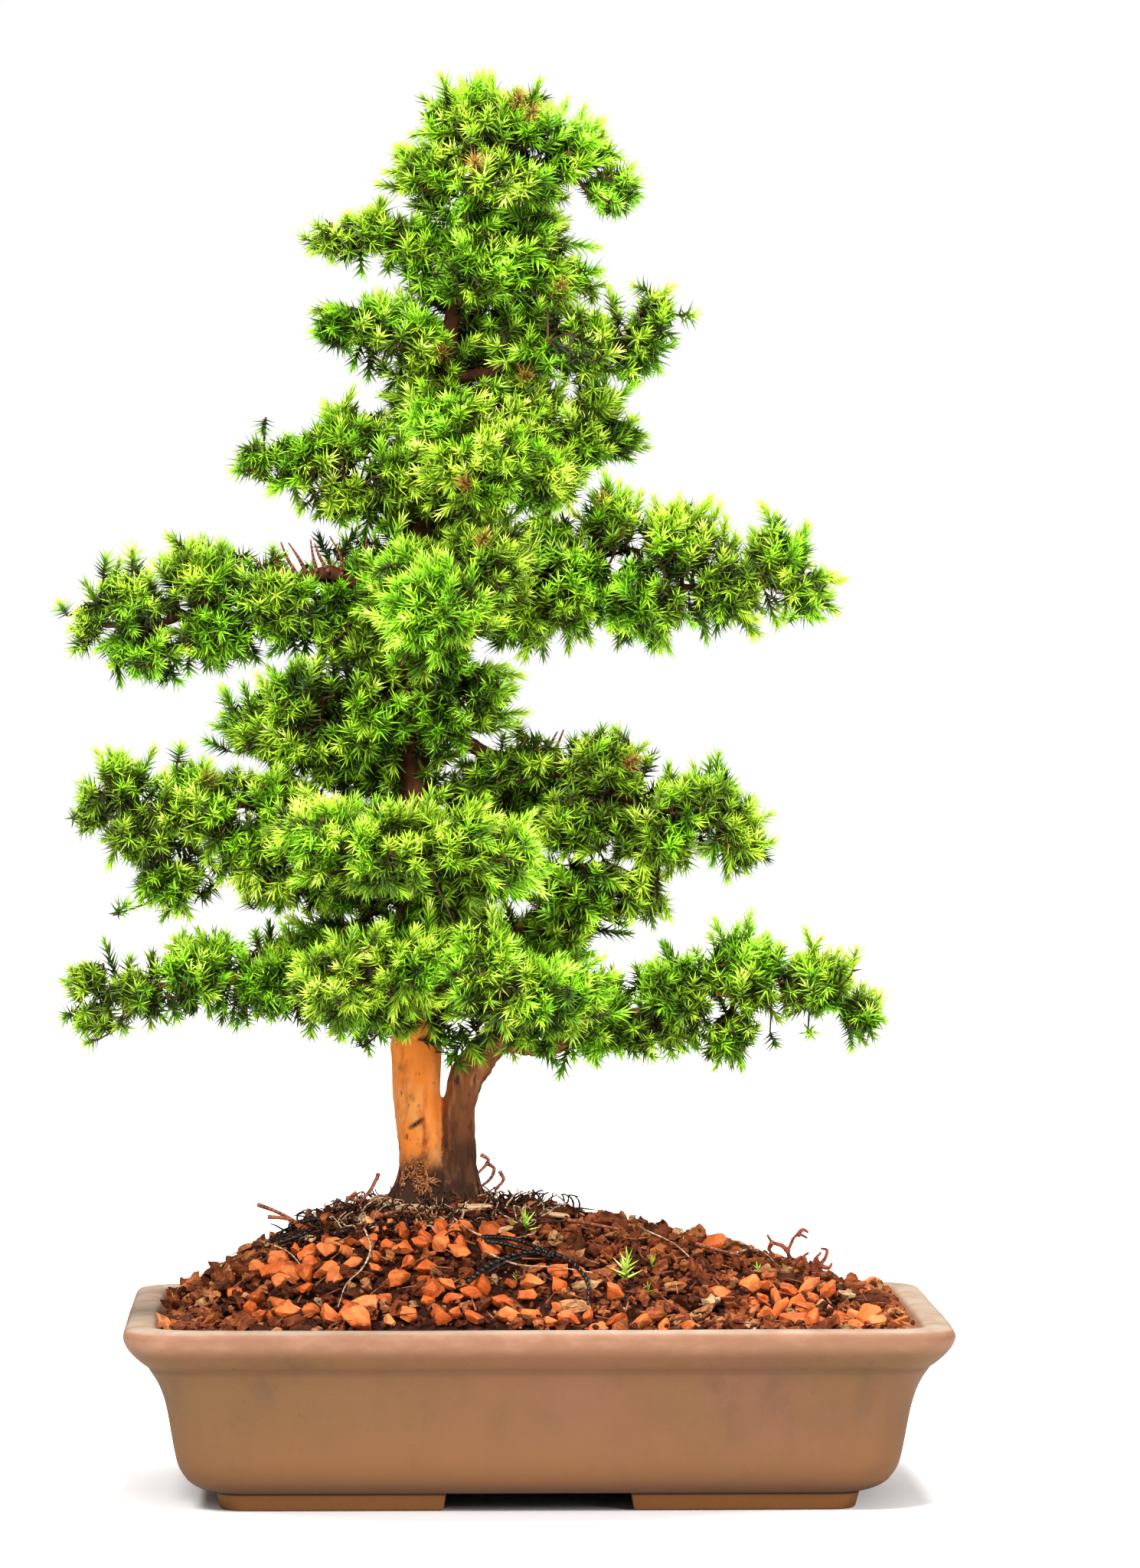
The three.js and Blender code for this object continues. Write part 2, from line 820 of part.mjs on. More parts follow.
function makeLobes(bough, grow) {
  const lumps = bough.lobes.map(([x, y, z, rx, ry, rz]) => {
    const middle = tree(x, y, z);
    const lump = new THREE.DodecahedronGeometry(LOBE_SCALE, 0);
    lump.rotateX(x).rotateZ(z); // turns the facets, so that neighbours don't line up
    lump.scale(
      rx * PAD_FULLNESS + grow,
      ry * PAD_FULLNESS * PAD_BREADTH + grow,
      rz * PAD_FULLNESS + grow,
    );
    return solidOf(lump.translate(middle.x, middle.y, middle.z));
  });
  return joined(lumps);
}

// ---- Wire, sprouts and twig on the soil ----

const onSoil = (x, y, above) =>
  new THREE.Vector3(x, y, soilHeight(x, y) + above);

function makeTieWire(grow = 0) {
  const line = new THREE.CatmullRomCurve3([
    onSoil(-26, -70, -7),
    onSoil(-21, -68, -1),
    onSoil(-10, -62, 2.4),
    onSoil(1, -56, 2.6),
    onSoil(7, -52, -0.4),
    onSoil(9, -50, -7),
  ]);
  return wire(line, TIE_WIRE, 14, grow);
}

// A sprout or a twig: cones and tubes that lean out from one point, with the stalk set in the soil.
function makeSprout([x, y, height], grow = 0) {
  const root = onSoil(x, y, -4);
  const leaves = [-1, 0, 1].map((side) =>
    taperedTube(
      [root, onSoil(x + side * 2, y, height / 2), onSoil(x + side * 5, y - 1, height)],
      [1.2, 1.6, 0.3],
      TUBE_SIDES,
      grow,
    ),
  );
  return joined(leaves);
}

const TWIG_ARMS = [
  [[98, -22, -5], [97, -22, 6], [100, -22, 15]],
  [[97, -22, 6], [91, -22, 8], [86, -23, 12]],
  [[98, -22, 1], [104, -21, 6], [107, -21, 12]],
];

function makeTwig(grow = 0) {
  const arms = TWIG_ARMS.map((points) =>
    taperedTube(
      points.map((p) => onSoil(...p)),
      [1.2, 0.9, 0.5],
      TUBE_SIDES,
      grow,
    ),
  );
  return joined(arms);
}

const SPROUTS = {
  sprout_front: [32, -62, 9],
  sprout_trunk: [-4, -34, 8],
};

// ---- Assembly ----

const bonsai = new THREE.Group();

function place(name, finish, solid) {
  const [color, roughness] = COLOURS[finish];
  const material = new THREE.MeshStandardMaterial({ color, roughness });
  const mesh = new THREE.Mesh(geometryOf(solid), material);
  mesh.name = name;
  bonsai.add(mesh);
}

const drainSides = { left: -DRAIN_OFFSET, right: DRAIN_OFFSET };
place("pot", "stoneware", makePot());

let soil = makeHeap().subtract(makeTrunk(GAP)).subtract(makeTieWire(GAP));
for (const [side, x] of Object.entries(drainSides)) {
  place(`drain_screen_${side}`, "screen", makeScreen(x));
  place(`screen_clip_${side}`, "wire", makeClip(x));
  const half = SCREEN_SIZE / 2 + GAP;
  const over = screenBase + SCREEN_THICKNESS + 2 * CLIP_WIRE + 2 * GAP;
  soil = soil.subtract(
    boxBetween(
      new THREE.Vector3(x - half, -half, -CUT),
      new THREE.Vector3(x + half, half, over + GAP),
    ),
  );
}
place("tie_wire", "wire", makeTieWire());
for (const [name, sprout] of Object.entries(SPROUTS)) {
  place(name, "sprout", makeSprout(sprout));
  soil = soil.subtract(makeSprout(sprout, GAP));
}
place("dead_twig", "deadwood", makeTwig());
place("soil", "soil", soil.subtract(makeTwig(GAP)));

place("trunk", "bark", makeTrunk());
const trunkClear = makeTrunk(GAP);
const limbs = BOUGHS.filter((bough) => bough.line);
for (const bough of limbs) {
  place(`branch_${bough.name}`, "bark", largest(makeBough(bough).subtract(trunkClear)));
  if (bough.wired) {
    place(`coil_wire_${bough.name}`, "wire", makeCoil(bough).subtract(trunkClear));
  }
}

// Each pad gives way to the wood and to the pads before it in the list.
const wood = joined([trunkClear, ...limbs.map(boughClearance)]);
let taken = wood;
for (const bough of BOUGHS) {
  place(`foliage_${bough.name}`, "foliage", largest(makeLobes(bough, 0).subtract(taken)));
  taken = taken.add(makeLobes(bough, GAP));
}

// The origin is under the middle of the whole object, at the level of the feet.
const whole = new THREE.Box3().setFromObject(bonsai);
const middle = whole.getCenter(new THREE.Vector3());
bonsai.position.set(-middle.x, -middle.y, -whole.min.z);

export default bonsai;
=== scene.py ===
"""A needle juniper bonsai in a shallow rectangular stoneware pot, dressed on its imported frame.

Run it as a script. Every piece is an operator, listed in the sidebar of the 3D view under Bonsai, and the
sizes and colours that a maker would change are properties of the scene.
"""

import math
import random

import bmesh
import bpy
import numpy as np
from mathutils import Matrix, Vector, noise
from mathutils.bvhtree import BVHTree
from mathutils.kdtree import KDTree


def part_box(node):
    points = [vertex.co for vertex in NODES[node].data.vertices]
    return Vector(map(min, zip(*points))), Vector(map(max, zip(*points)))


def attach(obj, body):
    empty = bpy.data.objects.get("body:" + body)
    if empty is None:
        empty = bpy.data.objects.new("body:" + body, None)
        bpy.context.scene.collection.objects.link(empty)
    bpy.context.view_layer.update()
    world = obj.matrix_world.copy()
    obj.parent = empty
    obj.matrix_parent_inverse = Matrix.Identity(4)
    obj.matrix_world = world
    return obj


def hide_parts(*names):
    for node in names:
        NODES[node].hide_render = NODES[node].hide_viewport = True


bl_info = {
    "name": "Bonsai in a pot",
    "version": (1, 0, 0),
    "blender": (4, 5, 0),
    "location": "View3D > Sidebar > Bonsai",
    "description": "Builds a needle juniper bonsai on its packed frame",
    "category": "Add Mesh",
}

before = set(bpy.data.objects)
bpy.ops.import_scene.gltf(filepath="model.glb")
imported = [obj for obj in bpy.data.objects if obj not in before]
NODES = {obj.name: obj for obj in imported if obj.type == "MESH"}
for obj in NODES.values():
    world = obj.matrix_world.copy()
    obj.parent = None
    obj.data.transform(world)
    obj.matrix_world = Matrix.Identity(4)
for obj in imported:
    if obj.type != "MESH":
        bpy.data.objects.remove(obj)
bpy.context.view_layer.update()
MM = 0.001
# The seed of the vector noise, which would otherwise follow the clock.
NOISE_SEED = 3

POT_LOW, POT_HIGH = (Vector(corner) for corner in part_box("pot"))
POT_MIDDLE = (POT_LOW + POT_HIGH) / 2


def at(x, y, z):
    """A point in metres from millimetres right of, behind and above the middle of the pot's foot."""
    return Vector((POT_MIDDLE.x + x * MM, POT_MIDDLE.y + y * MM, z * MM))


# ---- Settings ----


class BonsaiPotSettings(bpy.types.PropertyGroup):
    clay: bpy.props.FloatVectorProperty(
        name="Clay", description="Fired colour of the pot's walls", subtype="COLOR",
        size=3, min=0, max=1, default=(0.162, 0.079, 0.029),
    )
    clay_dark: bpy.props.FloatVectorProperty(
        name="Dark clay", description="Colour of the clouds in the clay", subtype="COLOR",
        size=3, min=0, max=1, default=(0.112, 0.058, 0.026),
    )
    dust: bpy.props.FloatVectorProperty(
        name="Dust", description="Pale mineral dust on the lip", subtype="COLOR",
        size=3, min=0, max=1, default=(0.40, 0.325, 0.245),
    )
    corner_radius: bpy.props.FloatProperty(
        name="Corner radius", description="Radius of the pot's corners at the lip", unit="LENGTH",
        min=0.005, max=0.05, default=0.019,
    )
    foot_height: bpy.props.FloatProperty(
        name="Foot height", description="Height of the four feet", unit="LENGTH",
        min=0.002, max=0.02, default=0.0062,
    )


class BonsaiFoliageSettings(bpy.types.PropertyGroup):
    needle_length: bpy.props.FloatProperty(
        name="Needle length", description="Mean length of a needle", unit="LENGTH",
        min=0.002, max=0.02, default=0.0056,
    )
    needle_width: bpy.props.FloatProperty(
        name="Needle width", description="Width of a needle at its widest", unit="LENGTH",
        min=0.0002, max=0.003, default=0.00128,
    )
    shoot_spacing: bpy.props.FloatProperty(
        name="Shoot spacing", description="Least distance between the tips of the outer shoots",
        unit="LENGTH", min=0.003, max=0.02, default=0.0043,
    )
    inner_spacing: bpy.props.FloatProperty(
        name="Inner spacing", description="Least distance between the shaded shoots inside a pad",
        unit="LENGTH", min=0.004, max=0.03, default=0.0096,
    )
    young: bpy.props.FloatVectorProperty(
        name="Young needles", description="Colour of this year's needles", subtype="COLOR",
        size=3, min=0, max=1, default=(0.76, 0.98, 0.095),
    )
    mature: bpy.props.FloatVectorProperty(
        name="Mature needles", description="Colour of last year's needles", subtype="COLOR",
        size=3, min=0, max=1, default=(0.28, 0.50, 0.026),
    )
    # Painted shade: the colour of the needles that sit in the shade deep inside the pads.
    shaded: bpy.props.FloatVectorProperty(
        name="Shaded needles", description="Colour of the oldest needles, inside the pads", subtype="COLOR",
        size=3, min=0, max=1, default=(0.016, 0.030, 0.005),
    )


class BonsaiWoodSettings(bpy.types.PropertyGroup):
    smooth_bark: bpy.props.FloatVectorProperty(
        name="Smooth bark", description="Colour of the peeled bark on the main stem", subtype="COLOR",
        size=3, min=0, max=1, default=(0.93, 0.262, 0.036),
    )
    rough_bark: bpy.props.FloatVectorProperty(
        name="Rough bark", description="Colour of the bark on the boughs and on the second stem",
        subtype="COLOR", size=3, min=0, max=1, default=(0.230, 0.078, 0.028),
    )
    wet_bark: bpy.props.FloatVectorProperty(
        name="Wet bark", description="Colour at the foot, where the soil keeps the bark wet", subtype="COLOR",
        size=3, min=0, max=1, default=(0.045, 0.019, 0.011),
    )
    detail: bpy.props.FloatProperty(
        name="Bark detail", description="Edge of a cell of the bark's mesh", unit="LENGTH",
        min=0.0004, max=0.003, default=0.00085,
    )


class BonsaiSoilSettings(bpy.types.PropertyGroup):
    grain: bpy.props.FloatProperty(
        name="Grain size", description="Mean diameter of a soil granule", unit="LENGTH",
        min=0.002, max=0.015, default=0.0062,
    )
    baked_clay: bpy.props.FloatVectorProperty(
        name="Baked clay granules", description="Colour of the orange granules", subtype="COLOR",
        size=3, min=0, max=1, default=(0.92, 0.180, 0.034),
    )
    lava: bpy.props.FloatVectorProperty(
        name="Lava granules", description="Colour of the dark granules", subtype="COLOR",
        size=3, min=0, max=1, default=(0.125, 0.034, 0.014),
    )


class BonsaiStageSettings(bpy.types.PropertyGroup):
    distance: bpy.props.FloatProperty(
        name="Camera distance", description="From the camera to the middle of the pot", unit="LENGTH",
        min=0.5, max=10, default=3.0,
    )
    eye_height: bpy.props.FloatProperty(
        name="Eye height", description="Height of the camera above the table", unit="LENGTH",
        min=0, max=3, default=0.321,
    )
    lens: bpy.props.FloatProperty(
        name="Lens", description="Focal length", unit="CAMERA", min=20, max=400, default=185.0,
    )
    room: bpy.props.FloatProperty(
        name="Room light", description="Strength of the light from all round", min=0, max=2, default=0.21,
    )
    key: bpy.props.FloatProperty(
        name="Key light", description="Power of the main soft box", unit="POWER", min=0, max=500, default=84,
    )


SETTINGS = {
    "bonsai_pot": BonsaiPotSettings,
    "bonsai_foliage": BonsaiFoliageSettings,
    "bonsai_wood": BonsaiWoodSettings,
    "bonsai_soil": BonsaiSoilSettings,
    "bonsai_stage": BonsaiStageSettings,
}


# ---- Modelling helpers ----


def nothing_selected():
    if bpy.context.object and bpy.context.object.mode != "OBJECT":
        bpy.ops.object.mode_set(mode="OBJECT")
    bpy.ops.object.select_all(action="DESELECT")


def only(piece):
    nothing_selected()
    piece.select_set(True)
    bpy.context.view_layer.objects.active = piece
    return piece


def added(name):
    """The primitive that was just added, with its place in its mesh."""
    piece = bpy.context.object
    piece.name = piece.data.name = name
    bpy.ops.object.transform_apply(location=True, rotation=True, scale=True)
    return piece


def apply_modifier(piece, kind, **settings):
    only(piece)
    modifier = piece.modifiers.new(kind.title(), kind)
    for key, value in settings.items():
        setattr(modifier, key, value)
    bpy.ops.object.modifier_apply(modifier=modifier.name)


def cut_with(piece, tool, operation):
    apply_modifier(piece, "BOOLEAN", operation=operation, object=tool, solver="EXACT")
    remove(tool)


def remove(piece):
    mesh = piece.data
    bpy.data.objects.remove(piece)
    bpy.data.meshes.remove(mesh)


def mesh_piece(name, points, faces, uv=None, face_materials=None, smooth=True):
    """A new object from points, triangles, one UV for each point and one material number for each face."""
    mesh = bpy.data.meshes.new(name)
    mesh.vertices.add(len(points))
    mesh.vertices.foreach_set("co", np.ascontiguousarray(points, np.float32).ravel())
    mesh.loops.add(len(faces) * 3)
    mesh.loops.foreach_set("vertex_index", np.ascontiguousarray(faces, np.int32).ravel())
    mesh.polygons.add(len(faces))
    mesh.polygons.foreach_set("loop_start", np.arange(0, len(faces) * 3, 3, dtype=np.int32))
    mesh.polygons.foreach_set("use_smooth", np.full(len(faces), smooth))
    if face_materials is not None:
        mesh.polygons.foreach_set("material_index", np.ascontiguousarray(face_materials, np.int32))
    mesh.update(calc_edges=True)
    if uv is not None:
        layer = mesh.uv_layers.new(name="OFBake")
        layer.data.foreach_set("uv", np.ascontiguousarray(uv[faces.ravel()], np.float32).ravel())
    piece = bpy.data.objects.new(name, mesh)
    bpy.context.scene.collection.objects.link(piece)
    return piece


def arrays_of(piece):
    """Points and triangles of a mesh object."""
    mesh = piece.data
    mesh.calc_loop_triangles()
    points = np.empty(len(mesh.vertices) * 3)
    mesh.vertices.foreach_get("co", points)
    faces = np.empty(len(mesh.loop_triangles) * 3, np.int32)
    mesh.loop_triangles.foreach_get("vertices", faces)
    return points.reshape(-1, 3), faces.reshape(-1, 3)


def cad_copy(name, *nodes):
    """One new object with the merged meshes of these CAD nodes."""
    shape = bmesh.new()
    for node in nodes:
        shape.from_mesh(NODES[node].data)
    bmesh.ops.remove_doubles(shape, verts=shape.verts, dist=1e-6)
    mesh = bpy.data.meshes.new(name)
    shape.to_mesh(mesh)
    shape.free()
    piece = bpy.data.objects.new(name, mesh)
    bpy.context.scene.collection.objects.link(piece)
    return piece


def tree_of(*nodes):
    points, faces, total = [], [], 0
    for node in nodes:
        some, triangles = arrays_of(NODES[node])
        points.append(some)
        faces.append(triangles + total)
        total += len(some)
    points = np.concatenate(points)
    faces = np.concatenate(faces)
    return BVHTree.FromPolygons([Vector(p) for p in points], faces.tolist())


def finish_piece(piece, slot, *nodes, material=None):
    if material:
        piece.data.materials.clear()
        piece.data.materials.append(material)
    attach(piece, "root")
    if nodes:
        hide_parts(*nodes)
    return piece


def frames_along(directions, spins):
    """Rotation matrices that turn +Z to each direction, spun about it."""
    z = directions / np.linalg.norm(directions, axis=1, keepdims=True)
    helper = np.where(np.abs(z[:, 2:3]) < 0.9, [[0, 0, 1.0]], [[1.0, 0, 0]])
    x = np.cross(helper, z)
    x /= np.linalg.norm(x, axis=1, keepdims=True)
    y = np.cross(z, x)
    c, s = np.cos(spins)[:, None], np.sin(spins)[:, None]
    return np.stack([x * c + y * s, y * c - x * s, z], axis=2)


def copies(points, faces, turns, places, sizes):
    """Points and faces of many copies of one shape, each with its turn (3x3), its place and its size."""
    sized = points[None] * np.asarray(sizes)[:, None, :]
    made = np.einsum("nij,nkj->nki", turns, sized) + places[:, None]
    shift = (np.arange(len(places)) * len(points))[:, None, None]
    return made.reshape(-1, 3), (faces[None] + shift).reshape(-1, 3)


def rods(starts, ends, thick, thin, sides=3):
    """Closed rods from starts to ends."""
    along = ends - starts
    turns = frames_along(along + 1e-9, np.zeros(len(along)))
    angles = np.arange(sides) * 2 * math.pi / sides
    ring = np.stack([np.cos(angles), np.sin(angles), np.zeros(sides)], axis=1)
    low = starts[:, None] + np.einsum("nij,kj->nki", turns, ring) * thick[:, None, None]
    high = ends[:, None] + np.einsum("nij,kj->nki", turns, ring) * thin[:, None, None]
    points = np.concatenate([low, high], axis=1)
    faces = []
    for a in range(1, sides - 1):
        faces += [(0, a + 1, a), (sides, sides + a, sides + a + 1)]
    for a in range(sides):
        b = (a + 1) % sides
        faces += [(a, b, b + sides), (a, b + sides, a + sides)]
    shift = (np.arange(len(starts)) * 2 * sides)[:, None, None]
    return points.reshape(-1, 3), (np.array(faces)[None] + shift).reshape(-1, 3)


def spread(candidates, distance):
    """Indices of candidates, in order, none nearer than distance to one before it."""
    cells, kept = {}, []
    for i, p in enumerate(candidates):
        key = tuple(int(math.floor(c / distance)) for c in p)
        near = (
            cells.get((key[0] + a, key[1] + b, key[2] + c), ())
            for a in (-1, 0, 1) for b in (-1, 0, 1) for c in (-1, 0, 1)
        )
        if any(sum((p[k] - q[k]) ** 2 for k in range(3)) < distance**2 for some in near for q in some):
            continue
        cells.setdefault(key, []).append(p)
        kept.append(i)
    return kept


# ---- Materials ----


class Shader:
    """A few shorthands for building a node tree."""

    def __init__(self, tree):
        self.tree = tree

    def add(self, kind, settings=None, **inputs):
        node = self.tree.nodes.new(kind)
        for key, value in (settings or {}).items():
            setattr(node, key, value)
        for key, value in inputs.items():
            self.feed(node, key.replace("_", " "), value)
        return node

    def feed(self, node, key, value):
        socket = node.inputs[int(key)] if key.isdigit() else node.inputs[key]
        if isinstance(value, bpy.types.NodeSocket):
            self.tree.links.new(value, socket)
        elif hasattr(value, "__len__") and socket.type == "RGBA":
            socket.default_value = (*value[:3], 1)
        else:
            socket.default_value = value

    def ramp(self, value, stops):
        node = self.tree.nodes.new("ShaderNodeValToRGB")
        ramp = node.color_ramp
        while len(ramp.elements) < len(stops):
            ramp.elements.new(1)
        for element, (place, colour) in zip(ramp.elements, stops):
            element.position = place
            element.color = (*colour, 1) if hasattr(colour, "__len__") else (*[colour] * 3, 1)
        self.tree.links.new(value, node.inputs["Fac"])
        return node.outputs["Color"]

    def mix(self, share, a, b, blend="MIX"):
        node = self.tree.nodes.new("ShaderNodeMix")
        node.data_type = "RGBA"
        node.blend_type = blend
        for key, value in (("0", share), ("6", a), ("7", b)):
            self.feed(node, key, value)
        return node.outputs[2]

    def maths(self, operation, a, b=0.0):
        node = self.tree.nodes.new("ShaderNodeMath")
        node.operation = operation
        self.feed(node, "0", a)
        self.feed(node, "1", b)
        return node.outputs[0]


def new_material(name):
    material = bpy.data.materials.new(name)
    material.use_nodes = True
    shader = Shader(material.node_tree)
    return material, shader, material.node_tree.nodes["Principled BSDF"]


def group(name, inputs, outputs):
    """An empty node group with named sockets, as (tree, Shader, group input, group output)."""
    tree = bpy.data.node_groups.new(name, "ShaderNodeTree")
    for socket, kind in inputs.items():
        tree.interface.new_socket(socket, in_out="INPUT", socket_type=kind)
    for socket, kind in outputs.items():
        tree.interface.new_socket(socket, in_out="OUTPUT", socket_type=kind)
    shader = Shader(tree)
    return tree, shader, tree.nodes.new("NodeGroupInput"), tree.nodes.new("NodeGroupOutput")


def cloud_group():
    """Clouds of one colour in another, on Object coordinates."""
    if "Clouds" in bpy.data.node_groups:
        return bpy.data.node_groups["Clouds"]
    numbers = ("Scale", "Low", "High", "Stretch Z")
    tree, shader, given, out = group(
        "Clouds",
        {"Base": "NodeSocketColor", "Cloud": "NodeSocketColor"} | {n: "NodeSocketFloat" for n in numbers},
        {"Color": "NodeSocketColor", "Mask": "NodeSocketFloat"},
    )
    place = shader.add("ShaderNodeTexCoord").outputs["Object"]
    stretch = shader.add("ShaderNodeCombineXYZ", X=1.0, Y=1.0, Z=given.outputs["Stretch Z"])
    stretched = shader.add("ShaderNodeVectorMath", {"operation": "MULTIPLY"})
    shader.feed(stretched, "0", place)
    shader.feed(stretched, "1", stretch.outputs[0])
    cloud = shader.add("ShaderNodeTexNoise", Vector=stretched.outputs[0], Scale=given.outputs["Scale"],
                       Detail=5.0, Roughness=0.6)
    mask = shader.add(
        "ShaderNodeMapRange", {"interpolation_type": "SMOOTHSTEP"},
        Value=cloud.outputs["Fac"], From_Min=given.outputs["Low"], From_Max=given.outputs["High"],
    )
    mixed = shader.mix(mask.outputs[0], given.outputs["Base"], given.outputs["Cloud"])
    tree.links.new(mixed, out.inputs["Color"])
    tree.links.new(mask.outputs[0], out.inputs["Mask"])
    return tree


def clouds(shader, base, cloud, scale, low, high, stretch=1.0):
    """Clouds over a base colour, as the mixed colour and the mask. low and high are the cloud's edges."""
    node = shader.add("ShaderNodeGroup", {"node_tree": cloud_group()})
    for key, value in zip(("Base", "Cloud", "Scale", "Low", "High", "Stretch Z"),
                          (base, cloud, scale, low, high, stretch)):
        shader.feed(node, key, value)
    return node.outputs["Color"], node.outputs["Mask"]


def bump(shader, height, distance, strength=1.0):
    node = shader.add("ShaderNodeBump", Strength=strength, Distance=distance, Height=height)
    return node.outputs["Normal"]


def soft_share(shader, value, low, high):
    """How far a value stands between two others, from 0 to 1."""
    share = shader.add("ShaderNodeMapRange", {"interpolation_type": "SMOOTHSTEP"}, Value=value,
                       From_Min=low, From_Max=high)
    return share.outputs[0]


def height_share(shader, low, high):
    """How far a point stands between two heights in millimetres, from 0 to 1."""
    place = shader.add("ShaderNodeSeparateXYZ", Vector=shader.add("ShaderNodeTexCoord").outputs["Object"])
    return soft_share(shader, place.outputs["Z"], low * MM, high * MM)


def band(shader, low, low_full, high_full, high):
    """A soft stripe round the pot, full between two heights and gone at two others, in millimetres."""
    below, above = height_share(shader, low, low_full), height_share(shader, high, high_full)
    return shader.maths("MULTIPLY", below, above)


def pot_material(pot):
    """Unglazed stoneware: brown clay with olive and red clouds, specks, and pale dust on top of the lip."""
    material, shader, surface = new_material("stoneware")
    base, _ = clouds(shader, pot.clay, pot.clay_dark, 26.0, 0.40, 0.80, 0.6)
    base, _ = clouds(shader, base, (0.185, 0.078, 0.042), 13.0, 0.48, 0.74, 0.8)
    base, _ = clouds(shader, base, (0.128, 0.084, 0.028), 26.0, 0.50, 0.80, 1.3)
    base, _ = clouds(shader, base, (0.118, 0.060, 0.030), 95.0, 0.54, 0.84, 0.30)
    base, _ = clouds(shader, base, (0.115, 0.058, 0.025), 640.0, 0.58, 0.80, 0.4)
    base, _ = clouds(shader, base, (0.25, 0.14, 0.07), 640.0, 0.64, 0.84)
    # The fire reddened the middle of the long walls.
    place = shader.add("ShaderNodeSeparateXYZ", Vector=shader.add("ShaderNodeTexCoord").outputs["Object"])
    aside = shader.maths("ABSOLUTE", shader.maths("SUBTRACT", place.outputs["X"], POT_MIDDLE.x - 0.012))
    middle = soft_share(shader, aside, 0.085, 0.020)
    _, ragged = clouds(shader, base, base, 22.0, 0.30, 0.62, 0.8)
    reddened = shader.maths("MULTIPLY", shader.maths("MULTIPLY", middle, ragged), 0.60)
    base = shader.mix(reddened, base, (0.215, 0.088, 0.042))
    # The lighter, pinkish lip band is partly the clay's own tone and partly painted light on the rounded lip.
    lip = height_share(shader, 57.5, 63.5)
    pinkish, _ = clouds(shader, (0.290, 0.138, 0.080), (0.370, 0.190, 0.116), 75.0, 0.40, 0.75, 2.2)
    base = shader.mix(shader.maths("MULTIPLY", lip, 0.80), base, pinkish)
    # Painted shade: a darker line under the lip.
    under_lip_shade = band(shader, 50.5, 52.2, 52.8, 54.8)
    base = shader.mix(shader.maths("MULTIPLY", under_lip_shade, 0.35), base, (0.070, 0.034, 0.020))
    _, patches = clouds(shader, base, base, 60.0, 0.30, 0.62)
    top = height_share(shader, 66.4, 67.8)
    share = shader.maths("MULTIPLY", top, shader.maths("ADD", shader.maths("MULTIPLY", patches, 0.55), 0.30))
    base = shader.mix(share, base, pot.dust)
    # Painted light: the lower walls are lighter and warmer, as light thrown up from the floor.
    painted_bounce_light = height_share(shader, 38, 16)
    base = shader.mix(shader.maths("MULTIPLY", painted_bounce_light, 0.50), base, (0.235, 0.102, 0.037))
    # Painted shade: the body darkens where it curves in under itself, above the feet.
    foot = height_share(shader, 12.5, 7.2)
    base = shader.mix(shader.maths("MULTIPLY", foot, 0.72), base, (0.088, 0.036, 0.015))
    # Painted shade: a near-black line in the crease where the feet meet the body.
    foot_joint_shade = band(shader, 5.4, 6.1, 6.4, 7.2)
    base = shader.mix(shader.maths("MULTIPLY", foot_joint_shade, 0.80), base, (0.020, 0.008, 0.004))
    feet = height_share(shader, 6.0, 5.2)
    base = shader.mix(shader.maths("MULTIPLY", feet, 0.85), base, (0.270, 0.105, 0.028))
    shader.feed(surface, "Base Color", base)
    grit = shader.add("ShaderNodeTexNoise", Vector=shader.add("ShaderNodeTexCoord").outputs["Object"],
                      Scale=800.0, Detail=5.0, Roughness=0.7)
    shader.feed(surface, "Normal", bump(shader, grit.outputs["Fac"], 0.0004, 0.45))
    surface.inputs["Roughness"].default_value = 0.66
    surface.inputs["Specular IOR Level"].default_value = 0.22
    return material


def palette_material(name, stops, roughness, specular=0.5, along=None, grain=None, tint=None):
    """A finish read from the piece's map: U picks the tone, and V runs along the leaf or varies the grain."""
    material, shader, surface = new_material(name)
    uv = shader.add("ShaderNodeUVMap", {"uv_map": "OFBake"}).outputs["UV"]
    split = shader.add("ShaderNodeSeparateXYZ", Vector=uv)
    colour = shader.ramp(split.outputs["X"], stops)
    if along:
        light = shader.ramp(split.outputs["Y"], along)
        colour = shader.mix(1.0, colour, light, "MULTIPLY")
    if tint:
        patched, _ = clouds(shader, (1.0, 1.0, 1.0), tint, 34.0, 0.44, 0.60)
        colour = shader.mix(1.0, colour, patched, "MULTIPLY")
    if grain:
        scale, low, high = grain
        rough = shader.add("ShaderNodeTexNoise", Vector=uv, Scale=scale, Detail=4.0, Roughness=0.7)
        light = shader.ramp(rough.outputs["Fac"], [(0.32, low), (0.68, high)])
        colour = shader.mix(1.0, colour, light, "MULTIPLY")
        pits = shader.add("ShaderNodeTexNoise", Vector=shader.add("ShaderNodeTexCoord").outputs["Object"],
                          Scale=900.0, Detail=4.0, Roughness=0.7)
        shader.feed(surface, "Normal", bump(shader, pits.outputs["Fac"], 0.0007, 0.7))
    shader.feed(surface, "Base Color", colour)
    surface.inputs["Roughness"].default_value = roughness
    surface.inputs["Specular IOR Level"].default_value = specular
    return material


